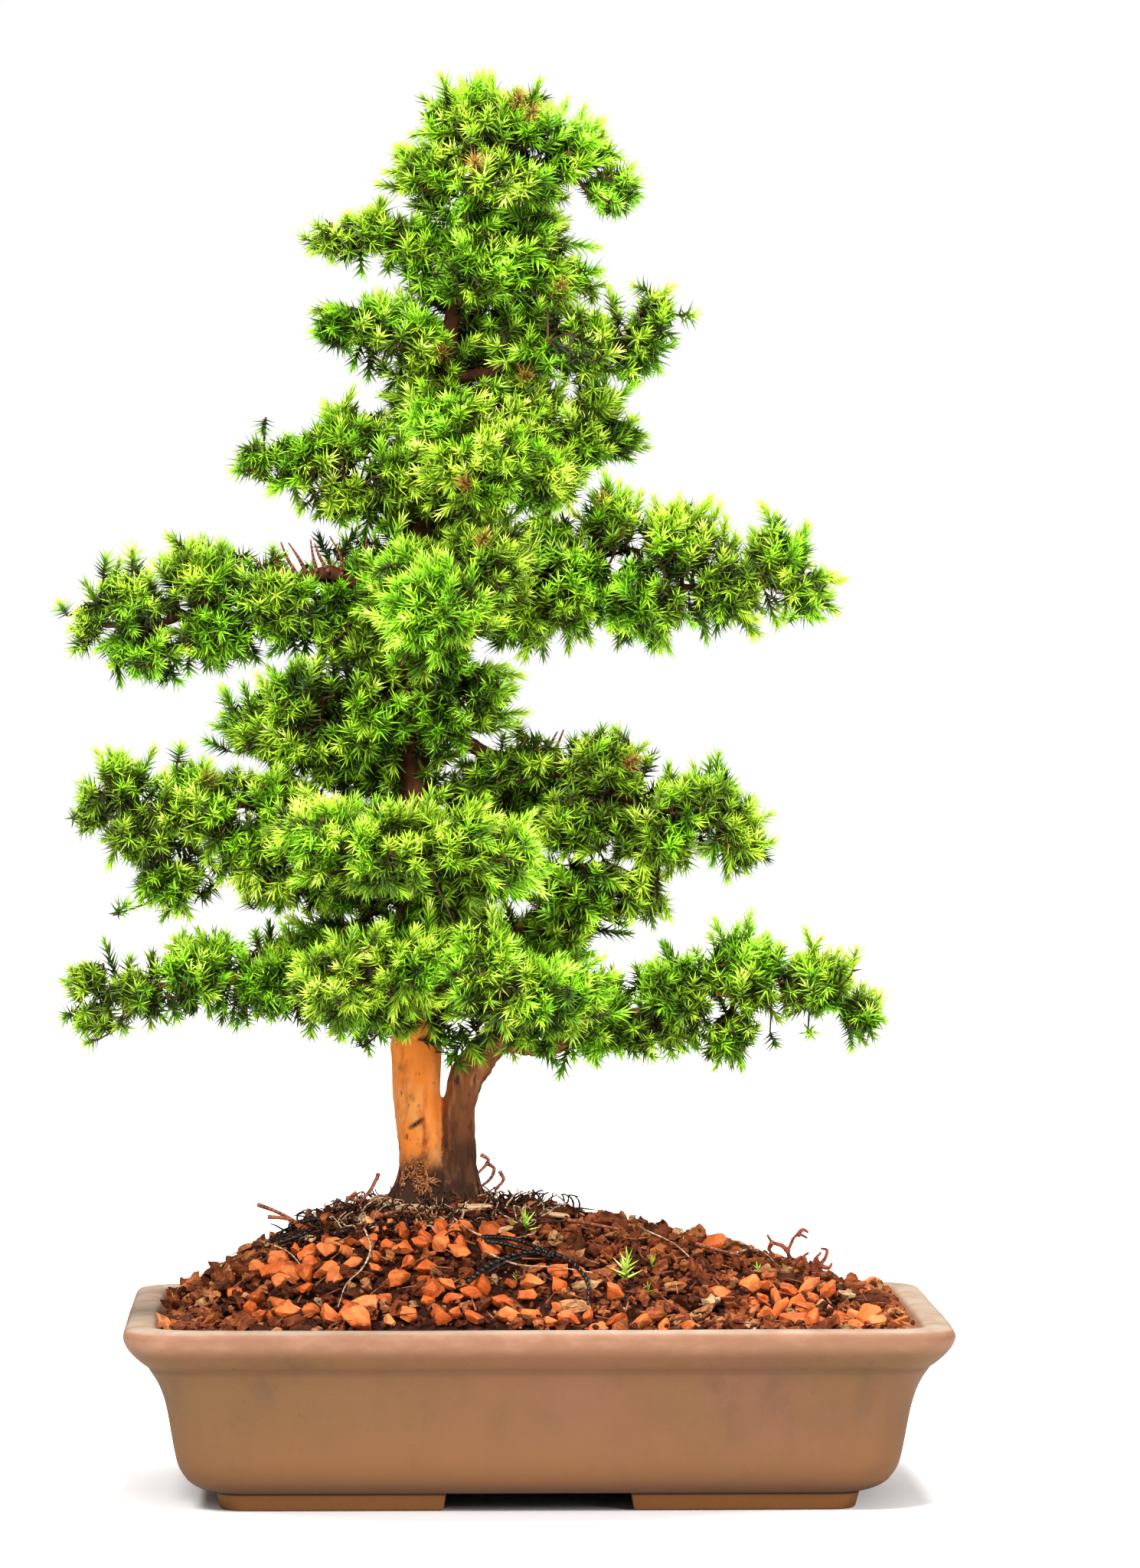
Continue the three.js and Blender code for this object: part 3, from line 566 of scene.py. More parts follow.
def bark_material(wood):
    """Bark whose zones are painted on the mesh: red smooth stem, green wet foot, blue the cut mark and the
    painted shade of the crown.
    """
    material, shader, surface = new_material("juniper bark")
    zones = shader.add("ShaderNodeVertexColor", {"layer_name": "bark_zones"}).outputs["Color"]
    split = shader.add("ShaderNodeSeparateColor", Color=zones)
    smooth_stem, wet, mark = (split.outputs[i] for i in range(3))
    rough, _ = clouds(shader, wood.rough_bark, (0.56, 0.235, 0.085), 190.0, 0.46, 0.72, 0.25)
    rough, _ = clouds(shader, rough, (0.028, 0.014, 0.010), 300.0, 0.55, 0.70, 0.3)
    peeled, _ = clouds(shader, wood.smooth_bark, (0.95, 0.40, 0.115), 90.0, 0.42, 0.72, 0.5)
    peeled, _ = clouds(shader, peeled, (0.58, 0.125, 0.020), 150.0, 0.54, 0.76, 0.30)
    peeled, _ = clouds(shader, peeled, (0.22, 0.070, 0.024), 420.0, 0.60, 0.74, 0.5)
    colour = shader.mix(smooth_stem, rough, peeled)
    damp, _ = clouds(shader, wood.wet_bark, (0.30, 0.100, 0.036), 190.0, 0.52, 0.72, 0.45)
    colour = shader.mix(wet, colour, damp)
    # The blue zone darkens the cut mark and paints the crown's shade on the upper stems and boughs.
    colour = shader.mix(mark, colour, (0.055, 0.018, 0.010))
    shader.feed(surface, "Base Color", colour)
    fibre = shader.add("ShaderNodeTexNoise", Vector=shader.add("ShaderNodeTexCoord").outputs["Object"],
                       Scale=520.0, Detail=4.0, Roughness=0.6)
    shader.feed(surface, "Normal", bump(shader, fibre.outputs["Fac"], 0.0006, 0.5))
    surface.inputs["Roughness"].default_value = 0.75
    surface.inputs["Specular IOR Level"].default_value = 0.12
    return material


def plain_material(name, base, cloud, scale, roughness, metallic=0.0, specular=0.15):
    """One colour with clouds of another, for small things."""
    material, shader, surface = new_material(name)
    colour, _ = clouds(shader, base, cloud, scale, 0.42, 0.70)
    shader.feed(surface, "Base Color", colour)
    surface.inputs["Roughness"].default_value = roughness
    surface.inputs["Metallic"].default_value = metallic
    surface.inputs["Specular IOR Level"].default_value = specular
    return material


# ---- Pot ----


def rounded_block(name, half_x, half_y, radius, low, high):
    """A block with round upright corners, as a closed mesh."""
    nothing_selected()
    bpy.ops.mesh.primitive_plane_add(size=2, location=(POT_MIDDLE.x, POT_MIDDLE.y, low))
    piece = bpy.context.object
    piece.scale = (half_x, half_y, 1)
    added(name)
    bpy.ops.object.mode_set(mode="EDIT")
    bpy.ops.mesh.select_all(action="SELECT")
    bpy.ops.mesh.bevel(affect="VERTICES", offset=radius, segments=6, profile=0.5)
    bpy.ops.mesh.select_all(action="SELECT")
    bpy.ops.mesh.extrude_region_move(TRANSFORM_OT_translate={"value": (0, 0, high - low)})
    bpy.ops.mesh.select_all(action="SELECT")
    bpy.ops.mesh.normals_make_consistent(inside=False)
    bpy.ops.object.mode_set(mode="OBJECT")
    return piece


def cube_tool(low, high):
    nothing_selected()
    bpy.ops.mesh.primitive_cube_add(size=1, location=tuple((low + high) / 2))
    bpy.context.object.scale = tuple(high - low)
    return added("tool")


# The pot's outline in millimetres, from the edge of its underside up over the lip and down inside: how far it
# stands in from the lip's outer edge, and its height.
POT_OUTLINE = [
    (31.2, 6.5), (27.4, 7.9), (23.8, 10.3), (20.8, 13.8), (18.9, 18.4), (17.8, 24.0), (16.7, 31.0),
    (15.4, 38.6), (13.5, 45.0), (11.4, 49.2), (9.9, 51.5), (9.2, 52.5), (9.1, 53.1), (6.9, 54.6),
    (3.9, 57.6), (1.7, 60.2), (0.4, 62.8), (0.0, 64.8), (0.5, 66.5), (1.9, 67.6), (4.4, 68.0),
    (9.4, 68.0), (11.2, 67.4), (13.2, 64.8), (19.0, 54.8), (23.0, 43.4), (26.0, 31.0), (28.4, 20.0),
    (38.0, 14.2),
]
UNDERSIDE = (33.5, 6.2)
# The bevel's width falls short of the lip's corner radius, because the rings grow outwards.
BEVEL_SHARE = 0.75
# The drain holes: their radius, and how far each is from the middle, in metres and millimetres.
DRAIN_RADIUS, DRAIN_OUT = 0.010, 62
# The feet are a frame: how far in it stands, its width, and its corners outside and inside.
FEET_IN, FEET_WIDE, FEET_CORNER, FEET_INNER_CORNER = 0.0335, 0.0165, 0.010, 0.006
FEET_BURIED = 0.0012
# Half the gap between two feet on the long and on the short sides, and how much wider its mouth is.
LONG_GAP, SHORT_GAP, GAP_FLARE = 0.0325, 0.0355, 0.0035
# How much the feet narrow at the ground, along X and along Y.
FEET_TAPER = (0.984, 0.977)


def build_pot(pot):
    """The stoneware pot, pulled up ring by ring, with its drain holes and feet."""
    half_x = (POT_HIGH.x - POT_LOW.x) / 2
    half_y = (POT_HIGH.y - POT_LOW.y) / 2
    inset, height = UNDERSIDE
    nothing_selected()
    bpy.ops.mesh.primitive_plane_add(size=2, location=(POT_MIDDLE.x, POT_MIDDLE.y, height * MM))
    body = bpy.context.object
    body.scale = (half_x - inset * MM, half_y - inset * MM, 1)
    added("pot_stoneware")
    bpy.ops.object.mode_set(mode="EDIT")
    bpy.ops.mesh.select_all(action="SELECT")
    bpy.ops.mesh.bevel(affect="VERTICES", offset=pot.corner_radius * BEVEL_SHARE, segments=6, profile=0.5)
    bpy.ops.mesh.select_all(action="SELECT")
    bpy.ops.mesh.flip_normals()
    bpy.ops.mesh.select_all(action="SELECT")
    # The outline is drawn upwards by pulling the last ring of edges out, one step at a time.
    bpy.ops.mesh.region_to_loop()
    now = (half_x - inset * MM, half_y - inset * MM, height * MM)
    for inset, height in POT_OUTLINE:
        then = (half_x - inset * MM, half_y - inset * MM, height * MM)
        bpy.ops.mesh.extrude_edges_move(TRANSFORM_OT_translate={"value": (0, 0, then[2] - now[2])})
        bpy.ops.transform.resize(
            value=(then[0] / now[0], then[1] / now[1], 1),
            center_override=(POT_MIDDLE.x, POT_MIDDLE.y, then[2]),
        )
        now = then
    bpy.ops.mesh.edge_face_add()
    bpy.ops.mesh.select_all(action="SELECT")
    bpy.ops.mesh.normals_make_consistent(inside=False)
    bpy.ops.object.mode_set(mode="OBJECT")
    apply_modifier(body, "SUBSURF", levels=2, render_levels=2)

    for side in (-1, 1):
        nothing_selected()
        bpy.ops.mesh.primitive_cylinder_add(
            vertices=40, radius=DRAIN_RADIUS, depth=0.03, location=at(DRAIN_OUT * side, 0, 12)
        )
        cut_with(body, added("drain"), "DIFFERENCE")

    foot_x, foot_y = half_x - FEET_IN, half_y - FEET_IN
    feet = rounded_block("feet", foot_x, foot_y, FEET_CORNER, 0, pot.foot_height + FEET_BURIED)
    hollow = rounded_block("hollow", foot_x - FEET_WIDE, foot_y - FEET_WIDE, FEET_INNER_CORNER, -0.005, 0.02)
    cut_with(feet, hollow, "DIFFERENCE")
    for x, y in ((LONG_GAP, half_y), (half_x, SHORT_GAP)):
        middle = Vector((POT_MIDDLE.x, POT_MIDDLE.y, 0))
        notch = cube_tool(middle - Vector((x, y, 0.004)), middle + Vector((x, y, 0.012)))
        # The mouth of each gap is wider at the ground.
        for vertex in notch.data.vertices:
            if vertex.co.z < 0:
                axis = 0 if x < y else 1
                vertex.co[axis] += math.copysign(GAP_FLARE, vertex.co[axis] - middle[axis])
        cut_with(feet, notch, "DIFFERENCE")
    for vertex in feet.data.vertices:
        if vertex.co.z < 0.001:
            vertex.co.x = POT_MIDDLE.x + (vertex.co.x - POT_MIDDLE.x) * FEET_TAPER[0]
            vertex.co.y = POT_MIDDLE.y + (vertex.co.y - POT_MIDDLE.y) * FEET_TAPER[1]
    apply_modifier(feet, "BEVEL", width=0.0009, segments=2, limit_method="ANGLE",
                   angle_limit=math.radians(40))
    cut_with(body, feet, "UNION")
    # A hand-made pot is never quite true.
    noise.seed_set(NOISE_SEED)
    for vertex in body.data.vertices:
        place = vertex.co
        if place.z > 0.012:
            sway = noise.noise_vector(place * 14) * 0.00045 + noise.noise_vector(place * 60) * 0.00012
            vertex.co += Vector((sway.x, sway.y, sway.z * 0.6))
    only(body)
    bpy.ops.object.shade_smooth_by_angle(angle=math.radians(38))
    return finish_piece(body, "stoneware", "pot", material=pot_material(pot))


# ---- Soil ----

# Patches of orange granules, in millimetres from the pot's middle: their middles and half widths.
ORANGE_PATCHES = [
    (-66, -48, 44, 22), (-30, -84, 46, 15), (-8, -60, 24, 15), (96, -58, 22, 24), (116, -78, 14, 14),
    (-96, -74, 16, 12), (10, -92, 40, 7), (60, 62, 40, 20), (-80, 66, 30, 20),
]


def orange_share(x, y):
    """How likely a granule at this place is orange."""
    most = 0.05
    for cx, cy, rx, ry in ORANGE_PATCHES:
        out = math.hypot((x - cx) / rx, (y - cy) / ry)
        most = max(most, 0.95 * (1 - max(0, out - 0.75) / 0.5))
    return most


def grain_shapes(seed, faces_level, flats, rough):
    """Eight stones: an ico sphere each, pressed flat on a few sides and made uneven."""
    shapes, draw = [], random.Random(seed)
    for _ in range(8):
        nothing_selected()
        bpy.ops.mesh.primitive_ico_sphere_add(subdivisions=faces_level, radius=1)
        stone = added("stone")
        points, faces = arrays_of(stone)
        remove(stone)
        offset = Vector([draw.uniform(0, 50) for _ in range(3)])
        swell = np.array([1 + rough * noise.noise(Vector(p) * 1.3 + offset) for p in points])
        points = points * swell[:, None]
        for _ in range(flats):
            normal = np.array(Vector([draw.gauss(0, 1) for _ in range(3)]).normalized())
            over = points @ normal - draw.uniform(0.46, 0.76)
            points = points - np.maximum(over, 0)[:, None] * normal
        stretch = [draw.uniform(*ends) for ends in ((0.85, 1.35), (0.65, 1.0), (0.55, 0.85))]
        points = points * np.array(stretch)
        shapes.append((points, faces))
    return shapes


# Half the length and half the width of the heap inside the lip, in millimetres, and its lowest top in metres.
HEAP_HALF_X, HEAP_HALF_Y, HEAP_LOW = 136, 99, 0.058
DOWN = Vector((0, 0, -1))


def heap_places(spacing, draw, ground, margin):
    """Places on the soil's top: right and back in millimetres from the middle, the point and its normal."""
    half_x = HEAP_HALF_X - margin
    half_y = HEAP_HALF_Y - margin
    tried = [(draw.uniform(-half_x, half_x), draw.uniform(-half_y, half_y), 0.0)
             for _ in range(int(9e4 / spacing**2 * 6))]
    found = []
    for i in spread(tried, spacing):
        x, y, _ = tried[i]
        hit, normal, _, _ = ground.ray_cast(at(x, y, 300), DOWN)
        if hit and normal.z > 0.2 and hit.z > HEAP_LOW:
            found.append((x, y, hit, normal))
    return found


def scatter_grains(name, places, shapes, draw, size, tones, sink):
    """Copies of the stones at places, joined as one mesh with a tone for each."""
    chosen = [[] for _ in shapes]
    for place in places:
        chosen[draw.randrange(len(shapes))].append(place)
    points, faces, uv, total = [], [], [], 0
    for (shape, triangles), some in zip(shapes, chosen):
        if not some:
            continue
        count = len(some)
        scale = np.array([size(draw) for _ in some])
        turns = np.array([
            Matrix.Rotation(draw.uniform(0, 6.3), 3, "Z")
            @ Matrix.Rotation(draw.gauss(0, 0.5), 3, "X")
            @ Matrix.Rotation(draw.gauss(0, 0.5), 3, "Y")
            for _ in some
        ])
        lift = np.array([draw.uniform(*sink) for _ in some]) * scale
        spots = np.array([p[2] for p in some]) + np.array([p[3] for p in some]) * lift[:, None]
        made, joined = copies(shape, triangles, turns, spots, np.repeat(scale[:, None], 3, axis=1))
        tone = np.array([tones(draw, p[0], p[1]) for p in some])
        spot = np.array([draw.random() for _ in some])
        local = np.clip(shape, -1.2, 1.2) * 0.012
        u = np.clip(tone[:, None] + local[None, :, 0], 0.002, 0.998)
        v = np.clip(0.05 + spot[:, None] * 0.9 + local[None, :, 2] * 2, 0.002, 0.998)
        points.append(made)
        faces.append(joined + total)
        uv.append(np.stack([u, v], axis=2).reshape(-1, 2))
        total += count * len(shape)
    piece = mesh_piece(name, np.concatenate(points), np.concatenate(faces), np.concatenate(uv))
    only(piece)
    bpy.ops.object.shade_smooth_by_angle(angle=math.radians(24))
    return piece


def build_soil(soil):
    """The bed of peat with the granules in three sizes, and the litter on them."""
    base = cad_copy("soil_bed", "soil")
    apply_modifier(base, "REMESH", mode="VOXEL", voxel_size=0.0031)
    apply_modifier(base, "SMOOTH", factor=0.6, iterations=4)
    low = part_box("soil")[0][2]
    for vertex in base.data.vertices:
        if vertex.co.z > 0.056 and vertex.normal.z > 0.3:
            rough = noise.fractal(vertex.co * 220, 0.8, 2.0, 3)
            vertex.co.z += -0.0014 + rough * 0.0011
        elif vertex.co.z > low + 0.004:
            vertex.co -= vertex.normal * 0.0004
    only(base)
    bpy.ops.object.shade_smooth()
    # The peat's very dark colour is partly its own and partly painted shade in the gaps between the granules.
    bed = plain_material("peat", (0.026, 0.007, 0.004), (0.080, 0.022, 0.010), 300.0, 0.9)
    finish_piece(base, "soil", "soil", material=bed)

    ground = tree_of("soil")
    draw = random.Random(11)

    def bare(places, room):
        """The places that aren't under the stems."""
        return [p for p in places if math.hypot(p[0] + 39, p[1] * 1.1) > room + 8 * draw.random()]

    wire = tree_of("tie_wire")
    orange = [p for p in bare(heap_places(soil.grain / MM * 1.0, draw, ground, 3.5), 24)
              if draw.random() < orange_share(p[0], p[1]) and wire.find_nearest(p[2])[3] > soil.grain * 0.75]
    taken = KDTree(len(orange))
    for i, place in enumerate(orange):
        taken.insert(place[2], i)
    taken.balance()
    dark = [p for p in bare(heap_places(soil.grain / MM * 0.72, draw, ground, 1.5), 18)
            if taken.find(p[2])[2] > soil.grain * 0.78 and wire.find_nearest(p[2])[3] > soil.grain * 0.5]
    half = soil.grain / 2
    clay = soil.baked_clay
    shades = [tuple(c * k for c in clay) for k in (0.30, 0.60, 1.0)]
    orange_finish = palette_material(
        "baked clay granules",
        [(0.0, shades[0]), (0.28, shades[1]), (0.6, shades[2]), (0.85, (0.95, 0.27, 0.07)),
         (1.0, (0.98, 0.46, 0.20))],
        0.42, 0.24, grain=(60.0, 0.38, 1.24),
    )
    lava = soil.lava
    dark_finish = palette_material(
        "lava granules",
        [(0.0, tuple(c * 0.3 for c in lava)), (0.30, tuple(lava)), (0.52, (0.25, 0.058, 0.018)),
         (0.72, (0.46, 0.140, 0.044)), (0.88, (0.52, 0.27, 0.11)), (1.0, (0.78, 0.54, 0.31))],
        0.75, 0.10, grain=(80.0, 0.20, 1.40),
    )
    stones = grain_shapes(3, 3, 13, 0.55)
    finish_piece(
        scatter_grains("granules_orange", orange, stones, draw,
                       lambda d: half * d.triangular(0.95, 1.95, 1.38),
                       lambda d, x, y: d.triangular(0.16, 1.0, 0.68), (0.15, 0.75)),
        "soil", material=orange_finish)
    crumbs = grain_shapes(5, 2, 6, 1.5)
    finish_piece(
        scatter_grains("granules_dark", dark, crumbs, draw,
                       lambda d: half * d.triangular(0.55, 1.50, 1.0),
                       lambda d, x, y: d.triangular(0.04, 1.0, 0.50), (0.0, 0.9)),
        "soil", material=dark_finish)
    small = grain_shapes(7, 1, 3, 0.9)
    fines = heap_places(soil.grain / MM * 0.42, draw, ground, 1.0)
    # The fines are real crumbs, but their tones run mostly dark, partly as painted shade in the gaps between
    # the granules.
    finish_piece(
        scatter_grains("granules_fine", fines, small, draw,
                       lambda d: 0.0005 + 0.0013 * d.random() ** 1.3,
                       lambda d, x, y: d.triangular(0.0, 0.95, 0.16), (-0.2, 1.9)),
        "soil", material=dark_finish)
    build_litter(ground, draw)


# The way an eye in front looks at the heap, and how far in front of the pot and above the target it starts.
SIGHT, SIGHT_BACK, SIGHT_UP = Vector((0, 1, -0.08)).normalized(), 300, 24


def seen(ground, x, z):
    """The point of the heap that is seen from the front at this place, and its normal."""
    hit, normal, _, _ = ground.ray_cast(at(x, -SIGHT_BACK, z + SIGHT_UP), SIGHT)
    if hit is None:
        hit, normal, _, _ = ground.find_nearest(at(x, -30, z))
    return hit, normal


def strand(points, steps):
    """A smooth line through points, as an array."""
    points = [Vector(p) for p in points]
    points = [points[0] * 2 - points[1]] + points + [points[-1] * 2 - points[-2]]
    line = []
    for a, b, c, d in zip(points, points[1:], points[2:], points[3:]):
        for i in range(steps):
            t = i / steps
            line.append(((b * 2) + (c - a) * t + (a * 2 - b * 5 + c * 4 - d) * t**2
                         + (b * 3 - a - c * 3 + d) * t**3) * 0.5)
    line.append(points[-2])
    return np.array(line)


def strand_rods(lines, thick, thin, sides=3):
    """Rods along several lines, each tapered from thick to thin."""
    starts, ends, wide, narrow = [], [], [], []
    for line in lines:
        share = np.linspace(0, 1, len(line))
        girth = thick + (thin - thick) * share
        starts.append(line[:-1])
        ends.append(line[1:])
        wide.append(girth[:-1])
        narrow.append(girth[1:])
    return rods(np.concatenate(starts), np.concatenate(ends), np.concatenate(wide), np.concatenate(narrow),
                sides)


# Litter on the heap, as it is seen from the front: right and up, in millimetres from the pot's foot.
PALE_ROOTS = [
    [(-62, 92), (-60, 85), (-63, 78), (-69, 72), (-72, 64)], [(-31, 96), (-22, 90), (-12, 88), (-2, 90)],
    [(-20, 84), (-8, 79), (6, 78), (19, 76)], [(38, 92), (50, 86), (58, 78)],
    [(72, 90), (82, 84), (90, 76)], [(-100, 88), (-90, 84), (-84, 78)],
]
RED_TWIGS = [
    [(12, 104), (20, 100), (31, 99)], [(60, 97), (66, 92), (76, 91)], [(-58, 96), (-50, 98), (-40, 97)],
]
# Twigs that stand up out of the heap's crest: right and up.
CREST_TWIGS = [
    [(-103, 103.7), (-96, 101.0), (-88, 97.0), (-84, 94.0)], [(-99, 99.0), (-92, 98.4), (-86, 95.0)],
    [(-83.7, 102.0), (-84.4, 98.0), (-82.0, 94.0)],
    [(-72.8, 105.6), (-76.4, 99.4), (-81.0, 96.6), (-84.0, 93.0)],
    [(-57.7, 115.0), (-60.5, 109.3), (-64.3, 104.6), (-66.0, 100.0)],
    [(-70.0, 106.0), (-63.0, 104.6), (-55.0, 105.6)], [(-66.0, 108.0), (-69.5, 105.0), (-72.0, 101.0)],
    [(-18.0, 119.0), (-15.0, 117.0), (-16.5, 113.0), (-20.0, 110.0)],
    [(-13.0, 116.0), (-11.5, 112.5), (-15.0, 109.0)], [(-20.0, 122.0), (-17.0, 119.6), (-21.0, 115.0)],
]
BLACK_ROOTS = [
    [(-20.5, 87.8), (-14, 87.8), (-7.7, 86.8), (0, 84), (5.1, 81)],
    [(-20.5, 86.6), (-13, 85.6), (-5, 83.6), (4, 81)], [(-26, 72), (-18, 78), (-8, 82), (2, 83)],
    [(-2, 84), (10, 80), (17, 72), (17, 64)], [(-96, 96), (-84, 98), (-74, 97), (-66, 99)],
    [(-88, 93), (-78, 95), (-70, 94)],
]
# Wood chips: right, up, length.
WOOD_CHIPS = [
    (-55, 103, 13), (-47, 101, 11), (-22, 101, 12), (8, 98, 8), (52, 92, 9), (-84, 96, 8), (-12, 93, 7),
]


# How much higher the crest's twigs stand than they are seen, in millimetres.
CREST_LIFT = 2.8


def rod_tones(points, seed):
    """One random UV for each three-sided rod."""
    return np.repeat(np.random.default_rng(seed).random((len(points) // 6, 2)), 6, axis=0)


def build_litter(ground, draw):
    """Roots, dead twigs, wood chips and dead needles that lie on the heap."""
    def laid(line, lift):
        spots = []
        for x, z in line:
            hit, normal = seen(ground, x, z)
            spots.append(hit + normal * lift)
        return strand(spots, 5)

    pale = palette_material("fine roots", [(0.0, (0.26, 0.12, 0.055)), (1.0, (0.82, 0.58, 0.38))], 0.7, 0.3)
    red = palette_material("dead twigs", [(0.0, (0.16, 0.040, 0.018)), (1.0, (0.42, 0.13, 0.055))], 0.6, 0.4)
    lines = [laid(line, 0.0050) for line in PALE_ROOTS]

    def curls(count, middle, reach, step, climb, most=0.0085):
        """Curly lines over the heap, spread round the foot of the tree."""
        made = []
        for _ in range(count):
            turn, out = draw.uniform(-math.pi, math.pi), draw.uniform(14, reach)
            x, y = middle[0] + out * math.cos(turn) * 1.35, middle[1] + out * math.sin(turn)
            hit, normal, _, _ = ground.ray_cast(at(x, y, 300), DOWN)
            if hit is None:
                continue
            spot, way, line = hit + normal * 0.0015, Vector((draw.gauss(0, 1), draw.gauss(0, 1), climb)), []
            for _ in range(5):
                line.append(spot)
                bend = Vector([draw.gauss(0, sway) for sway in (0.7, 0.7, 0.5)])
                way = (way + bend).normalized()
                spot = spot + way * step * draw.uniform(0.7, 1.3)
                near, up, _, _ = ground.find_nearest(spot)
                spot = near + up * min(most, max(0.0022, (spot - near).dot(up)))
            made.append(strand(line, 3))
        return made

    lines += curls(170, (-36, -4), 36, 0.0030, 0.5)
    points, faces = strand_rods(lines, 0.00052, 0.00022)
    finish_piece(mesh_piece("litter_roots", points, faces, rod_tones(points, 4)), "soil", material=pale)

    peat = plain_material("peat fibres", (0.022, 0.010, 0.007), (0.12, 0.045, 0.020), 500.0, 0.7)
    lines = curls(420, (-38, -2), 40, 0.0036, 0.3) + curls(190, (-66, -12), 24, 0.0034, 0.1, 0.0046)
    finish_piece(mesh_piece("litter_peat", *strand_rods(lines, 0.00062, 0.00026)), "soil", material=peat)
    # Shreds of old bark hang round the foot of the main stem.
    stems = tree_of("trunk")
    shreds = []
    for _ in range(70):
        foot = stems.find_nearest(at(draw.uniform(-60, -40), -30, draw.gauss(118, 2.6)))
        spot, up = foot[0] + foot[1] * 0.0006, foot[1]
        way, line = Vector((draw.gauss(0, 1), 0, draw.gauss(0, 1))).normalized(), []
        for _ in range(4):
            line.append(spot)
            way = (way + Vector((draw.gauss(0, 0.6), -0.15, draw.gauss(-0.1, 0.6)))).normalized()
            spot = spot + way * 0.0022
            near, up, _, _ = stems.find_nearest(spot)
            spot = near + up * min(0.0022, max(0.0007, (spot - near).dot(up)))
        shreds.append(strand(line, 3))
    points, faces = strand_rods(shreds, 0.00044, 0.00018)
    torn = palette_material("torn bark", [(0.0, (0.12, 0.036, 0.014)), (1.0, (0.62, 0.250, 0.095))], 0.8, 0.1)
    finish_piece(mesh_piece("bark_shreds", points, faces, rod_tones(points, 6)), "bark", material=torn)
    black = plain_material("black roots", (0.006, 0.003, 0.003), (0.024, 0.012, 0.009), 300.0, 0.16,
                           specular=0.45)
    lines = [laid(line, 0.0060) for line in BLACK_ROOTS]
    finish_piece(mesh_piece("litter_black", *strand_rods(lines, 0.00105, 0.00055, 8)), "soil", material=black)

    lines = [laid(line, 0.0052) for line in RED_TWIGS]
    for line in CREST_TWIGS:
        depth = draw.uniform(-9, -3)
        lines.append(strand([at(x, depth + draw.gauss(0, 1), z + CREST_LIFT) for x, z in line], 5))
    needles = []
    for x, y, hit, normal in heap_places(9.0, draw, ground, 3):
        way = normal.cross(Vector((draw.gauss(0, 1), draw.gauss(0, 1), draw.gauss(0, 1)))).normalized()
        middle, reach = hit + normal * draw.uniform(0.0026, 0.0042), way * draw.uniform(0.0025, 0.0042)
        needles.append(np.array([middle - reach, middle + reach + normal * 0.0006]))
    points, faces = strand_rods(lines, 0.00095, 0.00055)
    more, triangles = strand_rods(needles, 0.00045, 0.00012)
    faces = np.concatenate([faces, triangles + len(points)])
    points = np.concatenate([points, more])
    finish_piece(mesh_piece("litter_twigs", points, faces, rod_tones(points, 5)), "soil", material=red)

    chip_finish = plain_material("wood chips", (0.74, 0.46, 0.24), (0.36, 0.16, 0.075), 420.0, 0.7)
    for number, (x, z, length) in enumerate(WOOD_CHIPS):
        hit, normal = seen(ground, x, z)
        nothing_selected()
        bpy.ops.mesh.primitive_cube_add(size=1)
        chip = bpy.context.object
        chip.scale = (length * MM, length * MM * 0.34, length * MM * 0.16)
        added("litter_chip_%d" % number)
        apply_modifier(chip, "BEVEL", width=length * MM * 0.05, segments=2)
        turn = normal.to_track_quat("Z", "Y").to_matrix() @ Matrix.Rotation(draw.uniform(-0.6, 0.6), 3, "Z")
        for vertex in chip.data.vertices:
            vertex.co = vertex.co * (1 + 0.5 * noise.noise(vertex.co * 260 + Vector((number * 7, 0, 0))))
            vertex.co = turn @ vertex.co + hit + normal * 0.0038
        finish_piece(chip, "soil", material=chip_finish)


# ---- Wood ----

# Where the stems come out of the heap. Heights below are in millimetres above it.
STEM_FOOT = at(-39, 0, 105.5)
# The two ends of the cut mark on the main stem, and its half width.
MARK_FROM, MARK_TO, MARK_HALF = at(-46.5, -8, 134.9), at(-39.4, -9, 139.1), 0.0013
# The height from which the crown shades the bark.
SHADE_FROM = 96


